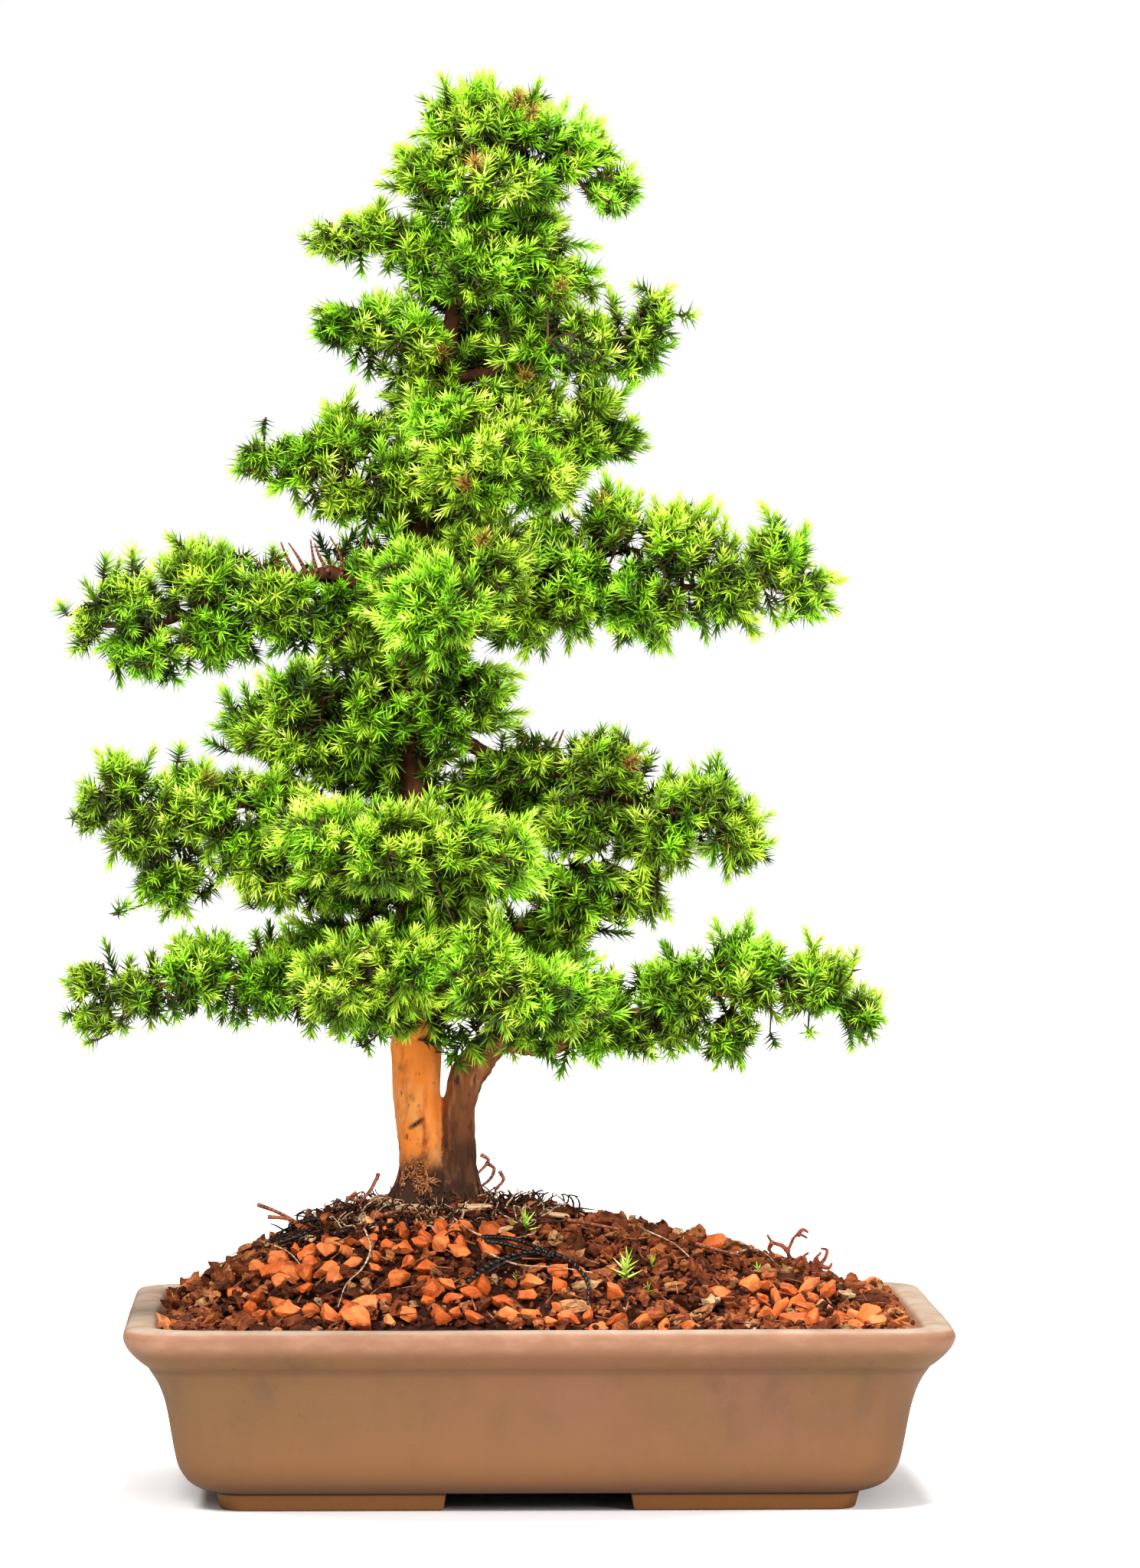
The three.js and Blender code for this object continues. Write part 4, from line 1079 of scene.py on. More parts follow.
def build_wood(wood):
    """Stems and boughs grown into one piece, with ridged bark and painted zones."""
    branches = sorted(name for name in NODES if name.startswith("branch_"))
    piece = cad_copy("juniper_wood", "trunk", *branches)
    apply_modifier(piece, "REMESH", mode="VOXEL", voxel_size=wood.detail)
    apply_modifier(piece, "SMOOTH", factor=0.7, iterations=7)
    mesh = piece.data
    zones = mesh.color_attributes.new("bark_zones", "FLOAT_COLOR", "POINT")
    colours = np.zeros((len(mesh.vertices), 4), np.float32)
    colours[:, 3] = 1
    normals = [vertex.normal.copy() for vertex in mesh.vertices]
    along = MARK_TO - MARK_FROM
    for i, (vertex, normal) in enumerate(zip(mesh.vertices, normals)):
        place = vertex.co.copy()
        height = (place.z - STEM_FOOT.z) / MM
        side = (place.x - STEM_FOOT.x) / MM
        if height < -16:
            continue
        # The main stem is left of the cleft between the two stems.
        cleft = 4.6 + max(0, height - 36) * 0.10
        main = 1 / (1 + math.exp((side - cleft) * 2.2)) if height < 150 else 0.0
        peel = main * min(1, max(0, (height - 12) / 12)) * min(1, max(0, (104 - height) / 40))
        wobble = noise.noise(place * 160)
        whole = 0.95 + min(1, height / 32) * 0.9 + wobble * 1.6 + noise.noise(place * 420) * 0.8
        peel *= min(1, max(0, whole))
        wet = min(1, max(0, (19 - height + wobble * 7) / 9))
        if side > cleft:
            wet = max(wet, min(1, max(0, (38 - height + wobble * 8) / 16)) * 0.85)
        share = min(1, max(0, (place - MARK_FROM).dot(along) / along.length_squared))
        off = (place - MARK_FROM - along * share).length
        mark = max(0, 1 - off / MARK_HALF) if normal.y < 0 else 0
        # Painted shade of the crown on the upper stems and boughs, kept in the blue zone with the cut mark.
        crown_shade = min(1, max(0, (height - SHADE_FROM) / 30)) * 0.80
        colours[i, :3] = (peel, wet, max(crown_shade, min(1, mark * 1.6)))
        ridged = Vector((place.x * 420, place.y * 420, place.z * 90))
        rough = abs(noise.noise(ridged)) - 0.25
        calm = noise.noise(place * 90) * 0.5 + noise.noise(place * 240) * 0.2
        depth = (1 - peel) * rough * 0.0011 + calm * 0.0005 + wet * rough * 0.0008
        if height > 60:
            depth *= max(0.35, 1 - (height - 60) / 200)
        if height < 16:
            # The stems flare where they go into the heap.
            flare = max(0, 1 - max(0, height + 2) / 18) ** 1.6
            place.x += (side - 6) * MM * 0.42 * flare
            place.y += (place.y - STEM_FOOT.y) * 0.25 * flare
        vertex.co = place + normal * (depth - mark * 0.0008)
    zones.data.foreach_set("color", colours.ravel())
    only(piece)
    bpy.ops.object.shade_smooth()
    return finish_piece(piece, "bark", "trunk", *branches, material=bark_material(wood))


# ---- Foliage ----


def leaning(tilt, turn):
    """The direction that leans from +Z by tilt, turned about it."""
    return math.sin(tilt) * math.cos(turn), math.sin(tilt) * math.sin(turn), math.cos(tilt)


def needle_shape(length, width):
    """One awl-shaped needle that grows from the origin towards +Z: points, faces and the share along it."""
    nothing_selected()
    bpy.ops.mesh.primitive_cone_add(vertices=3, radius1=width / 2, depth=length, location=(0, 0, length / 2))
    needle = added("needle")
    bpy.ops.object.mode_set(mode="EDIT")
    bpy.ops.mesh.select_all(action="SELECT")
    bpy.ops.mesh.quads_convert_to_tris()
    bpy.ops.transform.resize(value=(1, 0.6, 1), center_override=(0, 0, 0))
    bpy.ops.object.mode_set(mode="OBJECT")
    points, faces = arrays_of(needle)
    remove(needle)
    return points, faces, np.clip(points[:, 2] / length, 0, 1)


def shoot_shape(needle, draw, length, count, splay):
    """A twig tip set with needles in threes: points, faces, and the shares along needle and shoot."""
    shape, triangles, along = needle
    bases, directions, sizes, ages = [], [], [], []
    whorls = max(3, count // 3)
    for whorl in range(whorls):
        share = (whorl + 0.5) / whorls
        for third in range(3):
            turn = third * 2 * math.pi / 3 + whorl * math.pi / 3 + draw.gauss(0, 0.2)
            tilt = math.radians(splay * (1 - 0.72 * share**2.2) + draw.gauss(0, 6))
            directions.append(leaning(tilt, turn))
            bases.append((0, 0, length * (0.12 + 0.84 * share)))
            sizes.append((0.80 + 0.34 * math.sin(math.pi * min(1, share * 1.02))) * draw.uniform(0.82, 1.14))
            ages.append(share)
    directions, bases, sizes = np.array(directions), np.array(bases), np.array(sizes)
    spins = np.array([draw.uniform(0, 6.3) for _ in ages])
    made, faces = copies(shape, triangles, frames_along(directions, spins), bases,
                         np.stack([np.ones_like(sizes), np.ones_like(sizes), sizes], axis=1))
    needle_share = np.tile(along, len(ages))
    shoot_share = np.repeat(np.array(ages), len(shape))
    stem, stem_faces = rods(np.array([[0, 0, 0.0]]), np.array([[0, 0, length]]),
                            np.array([0.0005]), np.array([0.0002]))
    return {
        "points": made, "faces": faces, "along": needle_share, "age": shoot_share,
        "stem": stem, "stem_faces": stem_faces, "length": length,
    }


# Shoots with dry needles, as they are seen from the front: right, up, and how far they point right and up.
DRY_SHOOTS = [
    (-6.5, 513, 0.2, 0.6), (-2, 508, 0.4, 0.3), (-51, 500, -0.7, 0.4), (-22, 489, -0.1, 0.3),
    (9, 445, 0.3, 0.2), (-34, 421, -0.2, 0.3), (-4, 412, 0.1, 0.1), (-20, 348, 0.2, 0.4),
    (-26, 368, -0.3, 0.2), (25, 365, -0.1, 0.7), (35, 269, 0.4, 0.3), (78, 318, 0.4, -0.2),
    (-120, 262, -0.3, 0.4), (-96, 448, -0.4, 0.3),
]


def random_faces(node, spacing, rng):
    """Corners and normals of triangles of a CAD node, drawn by area, enough to spread points over it."""
    points, faces = arrays_of(NODES[node])
    corners = points[faces]
    cross = np.cross(corners[:, 1] - corners[:, 0], corners[:, 2] - corners[:, 0])
    areas = np.linalg.norm(cross, axis=1) / 2
    tried = int(areas.sum() / spacing**2 * 5)
    picked = rng.choice(len(faces), size=tried, p=areas / areas.sum())
    return corners[picked], cross[picked] / (2 * areas[picked])[:, None]


# Shoots at the back stand this much further apart.
BACK_SPACING = 1.2


def pad_shoots(pad, others, wood_tree, draw, leaf):
    """Base, direction, length, tone and dryness of each shoot of one pad."""
    own = tree_of(pad)
    points, _ = arrays_of(NODES[pad])
    rng = np.random.default_rng(draw.randrange(1 << 30))
    spacing = leaf.shoot_spacing * (BACK_SPACING if "_back_" in pad else 1)
    corners, normals = random_faces(pad, spacing, rng)
    a, b = rng.random(len(corners)), rng.random(len(corners))
    flip = a + b > 1
    a[flip], b[flip] = 1 - a[flip], 1 - b[flip]
    spots = corners[:, 0] + a[:, None] * (corners[:, 1] - corners[:, 0]) + b[:, None] * (
        corners[:, 2] - corners[:, 0])
    shoots = []
    for i in spread(spots.tolist(), spacing):
        spot, normal = Vector(spots[i]), Vector(normals[i])
        # A face that looks straight into a neighbour or the wood carries only a few shoots.
        hit = others.ray_cast(spot + normal * 0.0006, normal, 0.006)[0]
        if hit and draw.random() < 0.7:
            continue
        wood = wood_tree.find_nearest(spot)[0]
        from_wood = (spot - wood).length
        outward = (spot - wood).normalized() if from_wood > 1e-6 else normal
        jitter = Vector([draw.gauss(0, 0.34) for _ in range(3)])
        way = (normal * 0.80 + outward * 0.55 + Vector((0, 0, 0.22)) + jitter).normalized()
        long_one = draw.random() < 0.22
        length = draw.uniform(0.015, 0.021) if long_one else draw.uniform(0.009, 0.014)
        # A twig never comes out at the other side of a thin pad.
        room = own.ray_cast(spot - way * 0.001, -way)[3]
        length = min(length, max(0.006, 0.55 * (room or length)))
        # The pads' faces stand in and out, so that rosettes stand clear of the dark between them.
        swell = noise.noise(spot * 55) * 0.0050 + noise.noise(spot * 150) * 0.0030
        reach = draw.uniform(-0.0070, -0.0025) + swell if not long_one else draw.uniform(-0.002, 0.006)
        tip = spot + normal * reach
        # Painted light: shoots on the top of a pad are lighter and those underneath darker, as the light
        # falls from above; young needles at the ends of the boughs are brighter.
        light = 0.5 + 0.5 * normal.z
        patch = noise.noise(spot * 42 + Vector((9, 0, 0)))
        tone = 0.56 + 0.24 * light + 0.36 * patch + min(0.12, from_wood * 3.2)
        # Painted shade: shoots that stand deeper in the pad are darker.
        tone += draw.gauss(0, 0.11) + reach * 14
        shoots.append((tip - way * length, way, length, min(1.0, max(0.24, tone)), False))
    low, high = points.min(0), points.max(0)
    volume = float(np.prod(high - low))
    tried = rng.uniform(low, high, size=(int(volume / leaf.inner_spacing**3 * 4), 3))
    inside = []
    for spot in tried:
        near, normal, _, distance = own.find_nearest(spot)
        if (Vector(spot) - near).dot(normal) < 0 and distance > 0.006:
            inside.append((spot, distance))
    for i in spread([tuple(p[0]) for p in inside], leaf.inner_spacing):
        spot, depth = Vector(inside[i][0]), inside[i][1]
        wood = wood_tree.find_nearest(spot)[0]
        way = ((spot - wood).normalized() + Vector([draw.gauss(0, 0.5) for _ in range(3)])).normalized()
        # Painted shade: the shoots inside a pad get the darkest tones, darker the deeper they sit.
        tone = 0.22 - depth * 7 + draw.gauss(0, 0.03)
        shoots.append((spot - way * 0.006, way, draw.uniform(0.010, 0.014), min(0.3, max(0.15, tone)), False))
    return shoots


# Shoots that hang below the lowest pads by the stems, in millimetres from the pot's middle: right, back, up.
HANGING_SHOOTS = [
    (-66, -14, 170), (-62, -20, 166), (-57, -12, 169), (-50, -22, 173), (-38, -20, 172), (-33, -16, 168),
    (-30, -20, 163), (-27, -14, 158), (-24, -22, 166), (-20, -14, 161), (-17, -22, 168), (-11, -22, 165),
    (-5, -24, 169), (1, -24, 165), (6, -20, 161), (10, -22, 158), (14, -22, 163), (20, -20, 168),
    (26, -20, 166),
]


# The stems carry no shoots up to this height above the heap, in metres.
BARE_STEM = 0.060


def stem_shoots(pads, branches, draw):
    """Shoots that grow straight from the stems and boughs where no pad hides them."""
    pad_tree = tree_of(*pads)
    shoots = []
    for nodes, spacing in ((["trunk"], 0.0043), (branches, 0.0072)):
        for node in nodes:
            rng = np.random.default_rng(draw.randrange(1 << 30))
            corners, normals = random_faces(node, spacing, rng)
            shares = rng.dirichlet((1, 1, 1), len(corners))
            spots = np.einsum("nk,nkj->nj", shares, corners)
            for i in spread(spots.tolist(), spacing):
                spot = Vector(spots[i])
                if spot.z < STEM_FOOT.z + BARE_STEM:
                    continue
                near, outside, _, distance = pad_tree.find_nearest(spot)
                if (spot - near).dot(outside) < 0 and distance > 0.003:
                    continue
                jitter = Vector([draw.gauss(0, 0.4) for _ in range(3)])
                way = (Vector(normals[i]) + Vector((0, 0, 0.35)) + jitter).normalized()
                tone = draw.uniform(0.40, 0.80)
                shoots.append((spot, way, draw.uniform(0.011, 0.021), tone, False))
    for x, y, z in HANGING_SHOOTS:
        way = Vector((draw.gauss(0, 0.5), -0.4 + draw.gauss(0, 0.3), -0.8)).normalized()
        length, tone = draw.uniform(0.010, 0.015), draw.uniform(0.45, 0.85)
        shoots.append((at(x, y, z) - way * 0.010, way, length, tone, False))
    return shoots


def twig_rods(shoots, wood_tree):
    """Twigs that join the shoots' bases to the nearest wood, thicker where they carry more."""
    bases = np.array([s[0] for s in shoots])
    roots = np.array([wood_tree.find_nearest(Vector(b))[0] for b in bases])
    far = np.linalg.norm(bases - roots, axis=1)
    order = np.argsort(far)
    parent = {}
    joined = []
    for i in order:
        best, best_cost = -1, far[i]
        if joined:
            placed = bases[joined]
            cost = np.linalg.norm(placed - bases[i], axis=1) * 1.25 + far[joined] * 0.25
            k = int(cost.argmin())
            if cost[k] < best_cost:
                best = joined[k]
        parent[i] = best
        joined.append(i)
    load = np.ones(len(bases))
    for i in order[::-1]:
        if parent[i] >= 0:
            load[parent[i]] += load[i]
    starts = np.array([roots[i] if parent[i] < 0 else bases[parent[i]] for i in range(len(bases))])
    thick = np.minimum(0.00032 + 0.00016 * np.sqrt(load), 0.0016)
    return rods(starts, bases, thick, thick * 0.8)


def needle_finish(leaf):
    """The finish of all needles: dead ones at the left of the ramp, then from painted shade and the oldest up
    to the youngest, with a pale end that is partly a painted highlight.
    """
    shaded, mature, young = tuple(leaf.shaded), tuple(leaf.mature), tuple(leaf.young)
    return palette_material(
        "juniper needles",
        [(0.0, (0.16, 0.045, 0.018)), (0.05, (0.50, 0.20, 0.06)), (0.09, (0.52, 0.30, 0.09)), (0.13, shaded),
         (0.27, (0.036, 0.062, 0.006)), (0.42, (0.125, 0.220, 0.012)), (0.58, mature),
         (0.78, (0.58, 0.88, 0.045)), (0.92, young), (1.0, (0.84, 0.98, 0.24))],
        # Along each needle: painted shade at the base and a painted highlight at the tip.
        0.46, 0.25, along=[(0.0, (0.14, 0.14, 0.10)), (0.3, (0.82, 0.83, 0.70)), (1.0, (1.52, 1.42, 1.25))],
        tint=(0.70, 1.04, 0.52),
    )


def set_shoots(kinds, shoots, draw, needle_points):
    """Copies of the shoots at their places, as lists of points, faces, UVs and material numbers."""
    points, faces, uv, mats, total = [], [], [], [], 0
    groups = {}
    for shoot in shoots:
        misfits = [abs(kind["length"] - shoot[2]) + draw.random() * 0.002 for kind in kinds]
        best = misfits.index(min(misfits))
        groups.setdefault(best, []).append(shoot)
    for kind, some in sorted(groups.items()):
        shape = kinds[kind]
        places = np.array([s[0] for s in some])
        ways = np.array([s[1] for s in some])
        tones = np.array([s[3] for s in some])[:, None]
        dead = np.array([s[4] for s in some])[:, None]
        turns = frames_along(ways, np.array([draw.uniform(0, 6.3) for _ in some]))
        stretch = np.array([s[2] for s in some]) / shape["length"]
        wide = np.array([draw.uniform(0.86, 1.12) for _ in some])
        sizes = np.stack([wide, wide, stretch], axis=1)
        count = len(shape["points"]) // needle_points
        vary = np.repeat([draw.gauss(0, 0.075) for _ in range(count)], needle_points)
        # The needles nearest the tip of a shoot are the youngest and brightest; the lower whorls are darker
        # partly for age and partly as painted shade, so each rosette has a dark heart.
        tone = np.clip(tones * (0.20 + 0.92 * shape["age"][None]) + vary[None], 0.135, 0.995)
        tone = np.where(dead, np.clip(0.05 + vary[None] * 0.45, 0.01, 0.088), tone)
        along = np.clip(np.broadcast_to(shape["along"][None], tone.shape), 0.01, 0.99)
        for shape_points, shape_faces, u, v, material in (
            (shape["points"], shape["faces"], tone, along, 0),
            (shape["stem"], shape["stem_faces"], None, None, 1),
        ):
            made, joined = copies(shape_points, shape_faces, turns, places, sizes)
            points.append(made)
            faces.append(joined + total)
            uv.append(np.full((len(made), 2), 0.8) if u is None else np.stack([u, v], axis=2).reshape(-1, 2))
            mats.append(np.full(len(joined), material))
            total += len(made)
    return points, faces, uv, mats


def build_foliage(leaf):
    """Every pad set with shoots on twigs, the shoots on the bare stems, and the dead spurs."""
    draw = random.Random(29)
    needle = needle_shape(leaf.needle_length, leaf.needle_width)
    kinds = [
        shoot_shape(needle, draw, length, count, splay)
        for length, count, splay in ((0.009, 24, 72), (0.010, 24, 68), (0.012, 27, 70), (0.013, 30, 66),
                                     (0.014, 30, 58), (0.016, 33, 50), (0.019, 39, 52))
    ]
    pads = sorted(name for name in NODES if name.startswith("foliage_"))
    branches = sorted(name for name in NODES if name.startswith("branch_"))
    finish = needle_finish(leaf)
    twig_finish = palette_material("twig bark", [(0.0, (0.035, 0.016, 0.009)), (1.0, (0.15, 0.065, 0.026))],
                                   0.8, 0.3)
    front = tree_of(*pads)
    dry = [
        (front.ray_cast(at(x, -SIGHT_BACK, z + SIGHT_UP), SIGHT)[0], Vector((right, -0.9, up)).normalized())
        for x, z, right, up in DRY_SHOOTS
    ]

    def needles(name, shoots, wood_tree):
        points, faces, uv, mats = set_shoots(kinds, shoots, draw, len(needle[0]))
        made, joined = twig_rods(shoots, wood_tree)
        faces.append(joined + sum(len(p) for p in points))
        points.append(made)
        uv.append(np.full((len(made), 2), 0.3))
        mats.append(np.ones(len(joined), int))
        piece = mesh_piece(name, np.concatenate(points), np.concatenate(faces), np.concatenate(uv),
                           np.concatenate(mats), smooth=False)
        piece.data.materials.append(finish)
        piece.data.materials.append(twig_finish)
        return piece

    for pad in pads:
        others = tree_of(*[p for p in pads if p != pad], "trunk", *branches)
        bough = pad.replace("foliage", "branch")
        wood_tree = tree_of("trunk", *[b for b in branches if b == bough])
        shoots = pad_shoots(pad, others, wood_tree, draw, leaf)
        own = tree_of(pad)
        for spot, way in dry:
            if spot and own.find_nearest(spot)[3] < 0.0002:
                shoots.append((spot - way * 0.005, way, 0.010, 0.04, True))
        finish_piece(needles(pad.replace("foliage", "needles"), shoots, wood_tree), "foliage", pad)
    wood_tree = tree_of("trunk", *branches)
    finish_piece(needles("needles_stems", stem_shoots(pads, branches, draw), wood_tree), "foliage")
    build_spurs(wood_tree, draw)


# Dead spurs on the boughs, as they are seen from the front: right, up, and the way they lean to the right.
SPURS = [
    (-94, 348, -0.7), (-90, 347, -0.5), (-86, 346, -0.6), (-82, 346, -0.2), (-77, 344, -0.5),
    (-70, 342, -0.3), (-100, 346, -0.8), (-8, 272, 0.5), (0, 268, 0.6), (7, 266, 0.2), (14, 264, 0.5),
    (-64, 340, 0.2),
]


def build_spurs(wood_tree, draw):
    """Bare dead spurs that stand up from the boughs."""
    finish = plain_material("dead spurs", (0.34, 0.105, 0.060), (0.14, 0.045, 0.026), 600.0, 0.6)
    lines = []
    for x, z, lean in SPURS:
        foot = wood_tree.find_nearest(at(x, -14, z))[0]
        way = Vector((lean, -0.25, 1)).normalized()
        bow = Vector((draw.gauss(0, 0.16), draw.gauss(0, 0.16), 0))
        length = draw.uniform(0.011, 0.018)
        lines.append(strand([foot, foot + (way + bow) * length * 0.5, foot + way * length], 4))
    spurs = mesh_piece("dead_spurs", *strand_rods(lines, 0.00085, 0.00028, 6))
    finish_piece(spurs, "deadwood", material=finish)


# ---- Seedlings and the dead twig ----

# Seedlings that no CAD piece stands for, as they are seen from the front: right, up, and their height.
SEEDLINGS = [
    (42, 81, 6), (40, 72, 5), (55, 88, 5), (-134, 67, 6), (33, 80, 9), (-8, 77, 4), (84, 88, 5),
]


def build_seedlings():
    """Tufts of soft green leaves where seeds have come up in the heap."""
    draw = random.Random(17)
    finish = palette_material(
        "seedling leaves",
        [(0.0, (0.10, 0.22, 0.012)), (0.4, (0.34, 0.62, 0.035)), (0.8, (0.62, 0.86, 0.10)),
         (1.0, (0.80, 0.92, 0.34))],
        0.45, 0.35, along=[(0.0, (0.55, 0.6, 0.4)), (0.5, (1.0, 1.0, 1.0)), (1.0, (1.2, 1.2, 1.1))],
    )
    ground = tree_of("soil")
    leaf = needle_shape(1.0, 0.30)
    tufts = []
    for node in ("sprout_front", "sprout_trunk"):
        low, high = (Vector(corner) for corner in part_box(node))
        middle = (low + high) / 2
        tufts.append((Vector((middle.x, middle.y, low.z + 0.002)), (high.z - low.z - 0.002) / MM, node))
    for x, z, height in SEEDLINGS:
        tufts.append((seen(ground, x, z)[0], height, None))
    for number, (foot, height, node) in enumerate(tufts):
        places, ways, sizes = [], [], []
        count = 13 if node else 8
        for i in range(count):
            share = i / (count - 1)
            turn, tilt = i * 2.4, math.radians(78 - 62 * share + draw.gauss(0, 8))
            ways.append(leaning(tilt, turn))
            places.append(foot + Vector((0, 0, height * MM * (0.25 + 0.36 * share))))
            sizes.append(height * MM * draw.uniform(0.42, 0.62))
        sizes = np.array(sizes)
        points, faces = copies(leaf[0], leaf[1], frames_along(np.array(ways), np.zeros(count)),
                               np.array(places), np.stack([sizes, sizes, sizes], axis=1))
        uv = np.stack([np.repeat(np.random.default_rng(number).uniform(0.3, 0.98, count), len(leaf[0])),
                       np.tile(np.clip(leaf[2], 0.02, 0.98), count)], axis=1)
        low = np.array([foot - Vector((0, 0, 0.003))])
        high = np.array([foot + Vector((0, 0, height * MM * 0.62))])
        stalk, triangles = rods(low, high, np.array([0.00055]), np.array([0.0003]))
        piece = mesh_piece("seedling_%d" % number, np.concatenate([points, stalk]),
                           np.concatenate([faces, triangles + len(points)]),
                           np.concatenate([uv, np.full((len(stalk), 2), 0.25)]), smooth=False)
        finish_piece(piece, "sprout", *([node] if node else []), material=finish)


# The dead twig's stems, as they are seen from the front: right and up.
TWIG_STEMS = [
    [(98, 77), (96.5, 82), (94.6, 87), (94.0, 90.6), (97.2, 95.4), (100.7, 94.2)],
    [(94.2, 89.4), (91.0, 92.0), (88.1, 93.0), (86.2, 95.8)], [(88.1, 93.0), (86.6, 90.4), (87.6, 89.0)],
    [(102, 77), (103, 81.5), (105.4, 84.6), (107.4, 87.4), (108.0, 90.0), (106.0, 91.0)],
    [(103, 81.5), (103.4, 86.0), (105.6, 89.4)], [(99, 79), (100.6, 84), (99.4, 87.6), (101.2, 89.6)],
    [(95.6, 85), (98.6, 87.4), (100.4, 86.8)], [(105.4, 84.6), (108.6, 83.6), (110.0, 85.6)],
    [(97.2, 95.4), (98.8, 97.8), (101.0, 97.0)],
]


def build_dead_twig():
    """The dead twig, with stems that bend and curl at their ends."""
    noise.seed_set(NOISE_SEED)
    draw = random.Random(23)
    finish = plain_material("dead twig bark", (0.34, 0.085, 0.040), (0.12, 0.034, 0.020), 700.0, 0.6)
    low, high = (Vector(corner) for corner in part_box("dead_twig"))
    deep = (low.y + high.y) / 2 - POT_MIDDLE.y
    lines = []
    for stem in TWIG_STEMS:
        depth, line = deep / MM + draw.uniform(-0.5, 0.5), []
        for x, z in stem:
            line.append(at(x, depth, z))
            depth += draw.gauss(0, 1.2)
        line = strand(line, 5)
        lines.append(line + np.array([noise.noise_vector(Vector(p) * 300) * 0.0005 for p in line]))
    piece = mesh_piece("dead_twig_bark", *strand_rods(lines, 0.00105, 0.00042, 8))
    finish_piece(piece, "deadwood", "dead_twig", material=finish)


# ---- Wires ----


def build_wires():
    """Round wires from the CAD's coarse ones, and finishes for the carried-over screens and clips."""
    finish = plain_material("annealed wire", (0.012, 0.009, 0.008), (0.05, 0.035, 0.028), 300.0, 0.34,
                            metallic=0.4, specular=0.4)
    for node in sorted(n for n in NODES if n.startswith(("coil_wire", "tie_wire"))):
        piece = cad_copy(node.replace("wire", "wire_round"), node)
        only(piece)
        bpy.ops.object.mode_set(mode="EDIT")
        bpy.ops.mesh.select_all(action="SELECT")
        bpy.ops.mesh.tris_convert_to_quads(face_threshold=math.radians(60), shape_threshold=math.radians(60))
        bpy.ops.object.mode_set(mode="OBJECT")
        apply_modifier(piece, "SUBSURF", levels=2, render_levels=2)
        only(piece)
        bpy.ops.object.shade_smooth()
        finish_piece(piece, "wire", node, material=finish)
    for node in ("screen_clip_left", "screen_clip_right"):
        NODES[node].data.materials.clear()
        NODES[node].data.materials.append(finish)
    net = plain_material("plastic screen", (0.012, 0.016, 0.011), (0.03, 0.036, 0.026), 200.0, 0.5)
    for node in ("drain_screen_left", "drain_screen_right"):
        NODES[node].data.materials.clear()
        NODES[node].data.materials.append(net)


# ---- Stage ----


# Soft boxes: their place, size and share of the key light's power.
SOFT_BOXES = (
    ("key", (-0.9, -2.0, 1.9), 0.7, 1.0),
    ("fill", (1.5, -1.8, 0.9), 0.9, 0.30),
    ("top", (0.2, 0.1, 2.2), 0.6, 0.75),
)
# What the camera looks at, and how far it is turned to the right, in degrees.
CAMERA_AIM, CAMERA_YAW = at(13.4, 0, 262.4), 1.5
# Distances from the middle between which the floor brightens to plain white.
FLOOR_SHADE, FLOOR_WHITE = 0.115, 0.235


def build_stage(stage):
    """The camera, the paper floor, the room's light and three soft boxes."""
    scene = bpy.context.scene
    camera = bpy.data.objects.new("camera", bpy.data.cameras.new("camera"))
    scene.collection.objects.link(camera)
    yaw, dip = math.radians(CAMERA_YAW), math.asin((stage.eye_height - CAMERA_AIM.z) / stage.distance)
    ahead = Vector((math.sin(yaw) * math.cos(dip), math.cos(yaw) * math.cos(dip), -math.sin(dip)))
    camera.location = CAMERA_AIM - ahead * stage.distance
    camera.rotation_euler = ahead.to_track_quat("-Z", "Y").to_euler()
    camera.data.sensor_width = 36
    camera.data.lens = stage.lens
    camera.data.clip_end = 50
    scene.camera = camera
    scene.view_settings.view_transform = "Standard"

    nothing_selected()
    bpy.ops.mesh.primitive_circle_add(vertices=96, radius=6, fill_type="NGON", location=(0, 0, -0.0001))
    floor = added("floor")
    material, shader, surface = new_material("paper floor")
    surface.inputs["Base Color"].default_value = (0.93, 0.93, 0.93, 1)
    surface.inputs["Roughness"].default_value = 0.9
    # The paper is bright enough to print white.
    glow = shader.add("ShaderNodeLightPath").outputs["Is Camera Ray"]
    away = shader.add("ShaderNodeVectorMath", {"operation": "LENGTH"},
                      Vector=shader.add("ShaderNodeTexCoord").outputs["Object"])
    far = shader.add("ShaderNodeMapRange", Value=away.outputs["Value"],
                     From_Min=FLOOR_SHADE, From_Max=FLOOR_WHITE)
    surface.inputs["Emission Color"].default_value = (1, 1, 1, 1)
    shader.feed(surface, "Emission Strength", shader.maths("MULTIPLY", glow, far.outputs[0]))
    floor.data.materials.append(material)

    world = bpy.data.worlds.new("soft room")
    scene.world = world
    world.use_nodes = True
    room = Shader(world.node_tree)
    background = world.node_tree.nodes["Background"]
    background.inputs["Color"].default_value = (1, 1, 1, 1)
    # The camera sees white paper, and the object gets only the room's soft light.
    seen_by_camera = room.add("ShaderNodeLightPath").outputs["Is Camera Ray"]
    room.feed(background, "Strength", room.maths("MAXIMUM", seen_by_camera, stage.room))
    for name, place, size, share in SOFT_BOXES:
        light = bpy.data.objects.new(name, bpy.data.lights.new(name, "AREA"))
        light.data.shape = "DISK"
        light.data.size = size
        light.data.energy = stage.key * share
        light.location = place
        light.rotation_euler = (Vector((0, 0, 0.25)) - Vector(place)).to_track_quat("-Z", "Y").to_euler()
        scene.collection.objects.link(light)


# ---- Operators ----


class BONSAI_OT_stage(bpy.types.Operator):
    """Add the floor, the lights and the camera"""

    bl_idname = "bonsai.stage"
    bl_label = "Stage"

    def execute(self, context):
        build_stage(context.scene.bonsai_stage)
        return {"FINISHED"}


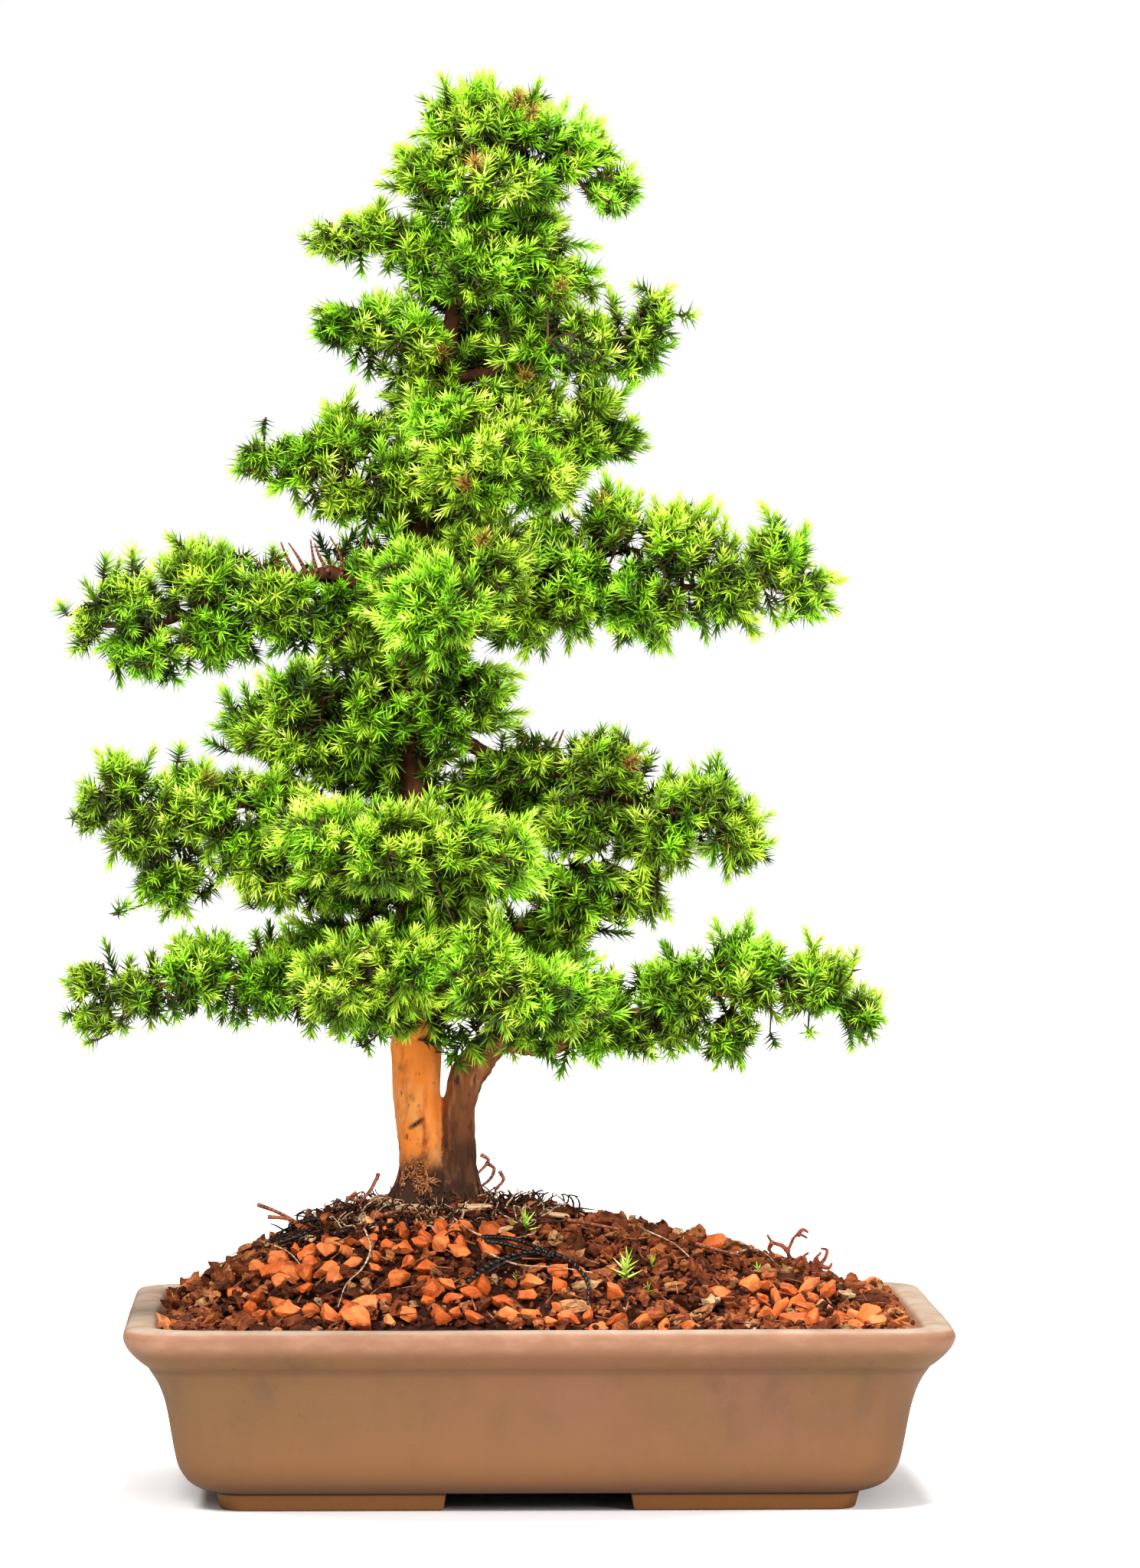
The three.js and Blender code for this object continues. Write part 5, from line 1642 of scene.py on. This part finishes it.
class BONSAI_OT_pot(bpy.types.Operator):
    """Model the stoneware pot with its lip, its feet and its drain holes"""

    bl_idname = "bonsai.pot"
    bl_label = "Pot"

    def execute(self, context):
        build_pot(context.scene.bonsai_pot)
        return {"FINISHED"}


class BONSAI_OT_soil(bpy.types.Operator):
    """Heap the granules on the soil bed"""

    bl_idname = "bonsai.soil"
    bl_label = "Soil"

    def execute(self, context):
        build_soil(context.scene.bonsai_soil)
        return {"FINISHED"}


class BONSAI_OT_wood(bpy.types.Operator):
    """Grow the stems and boughs into one piece of wood with bark"""

    bl_idname = "bonsai.wood"
    bl_label = "Wood"

    def execute(self, context):
        build_wood(context.scene.bonsai_wood)
        return {"FINISHED"}


class BONSAI_OT_foliage(bpy.types.Operator):
    """Set each pad with twigs, shoots and needles"""

    bl_idname = "bonsai.foliage"
    bl_label = "Foliage"

    def execute(self, context):
        build_foliage(context.scene.bonsai_foliage)
        return {"FINISHED"}


class BONSAI_OT_wires(bpy.types.Operator):
    """Round off the training wires, and finish the drain screens and their clips"""

    bl_idname = "bonsai.wires"
    bl_label = "Wires and screens"

    def execute(self, context):
        build_wires()
        return {"FINISHED"}


class BONSAI_OT_seedlings(bpy.types.Operator):
    """Plant the seedlings in the heap"""

    bl_idname = "bonsai.seedlings"
    bl_label = "Seedlings"

    def execute(self, context):
        build_seedlings()
        return {"FINISHED"}


class BONSAI_OT_dead_twig(bpy.types.Operator):
    """Give the dead twig its bark and side twigs"""

    bl_idname = "bonsai.dead_twig"
    bl_label = "Dead twig"

    def execute(self, context):
        build_dead_twig()
        return {"FINISHED"}


OPERATORS = (
    BONSAI_OT_stage, BONSAI_OT_pot, BONSAI_OT_wires, BONSAI_OT_soil, BONSAI_OT_wood, BONSAI_OT_foliage,
    BONSAI_OT_seedlings, BONSAI_OT_dead_twig,
)


class BONSAI_PT_panel(bpy.types.Panel):
    """The pieces of the bonsai and their settings"""

    bl_idname = "BONSAI_PT_panel"
    bl_label = "Bonsai"
    bl_space_type = "VIEW_3D"
    bl_region_type = "UI"
    bl_category = "Bonsai"

    def draw(self, context):
        for operator in OPERATORS:
            self.layout.operator(operator.bl_idname)
        for key in SETTINGS:
            settings = getattr(context.scene, key)
            box = self.layout.box()
            for name in settings.__annotations__:
                box.prop(settings, name)


def register():
    for key, settings in SETTINGS.items():
        bpy.utils.register_class(settings)
        setattr(bpy.types.Scene, key, bpy.props.PointerProperty(type=settings))
    for shown in (*OPERATORS, BONSAI_PT_panel):
        bpy.utils.register_class(shown)


def unregister():
    for shown in (BONSAI_PT_panel, *reversed(OPERATORS)):
        bpy.utils.unregister_class(shown)
    for key, settings in reversed(SETTINGS.items()):
        delattr(bpy.types.Scene, key)
        bpy.utils.unregister_class(settings)


def main():
    register()
    bpy.ops.bonsai.stage()
    bpy.ops.bonsai.pot()
    bpy.ops.bonsai.wires()
    bpy.ops.bonsai.soil()
    bpy.ops.bonsai.wood()
    bpy.ops.bonsai.foliage()
    bpy.ops.bonsai.seedlings()
    bpy.ops.bonsai.dead_twig()
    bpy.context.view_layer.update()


if __name__ == "__main__":
    main()
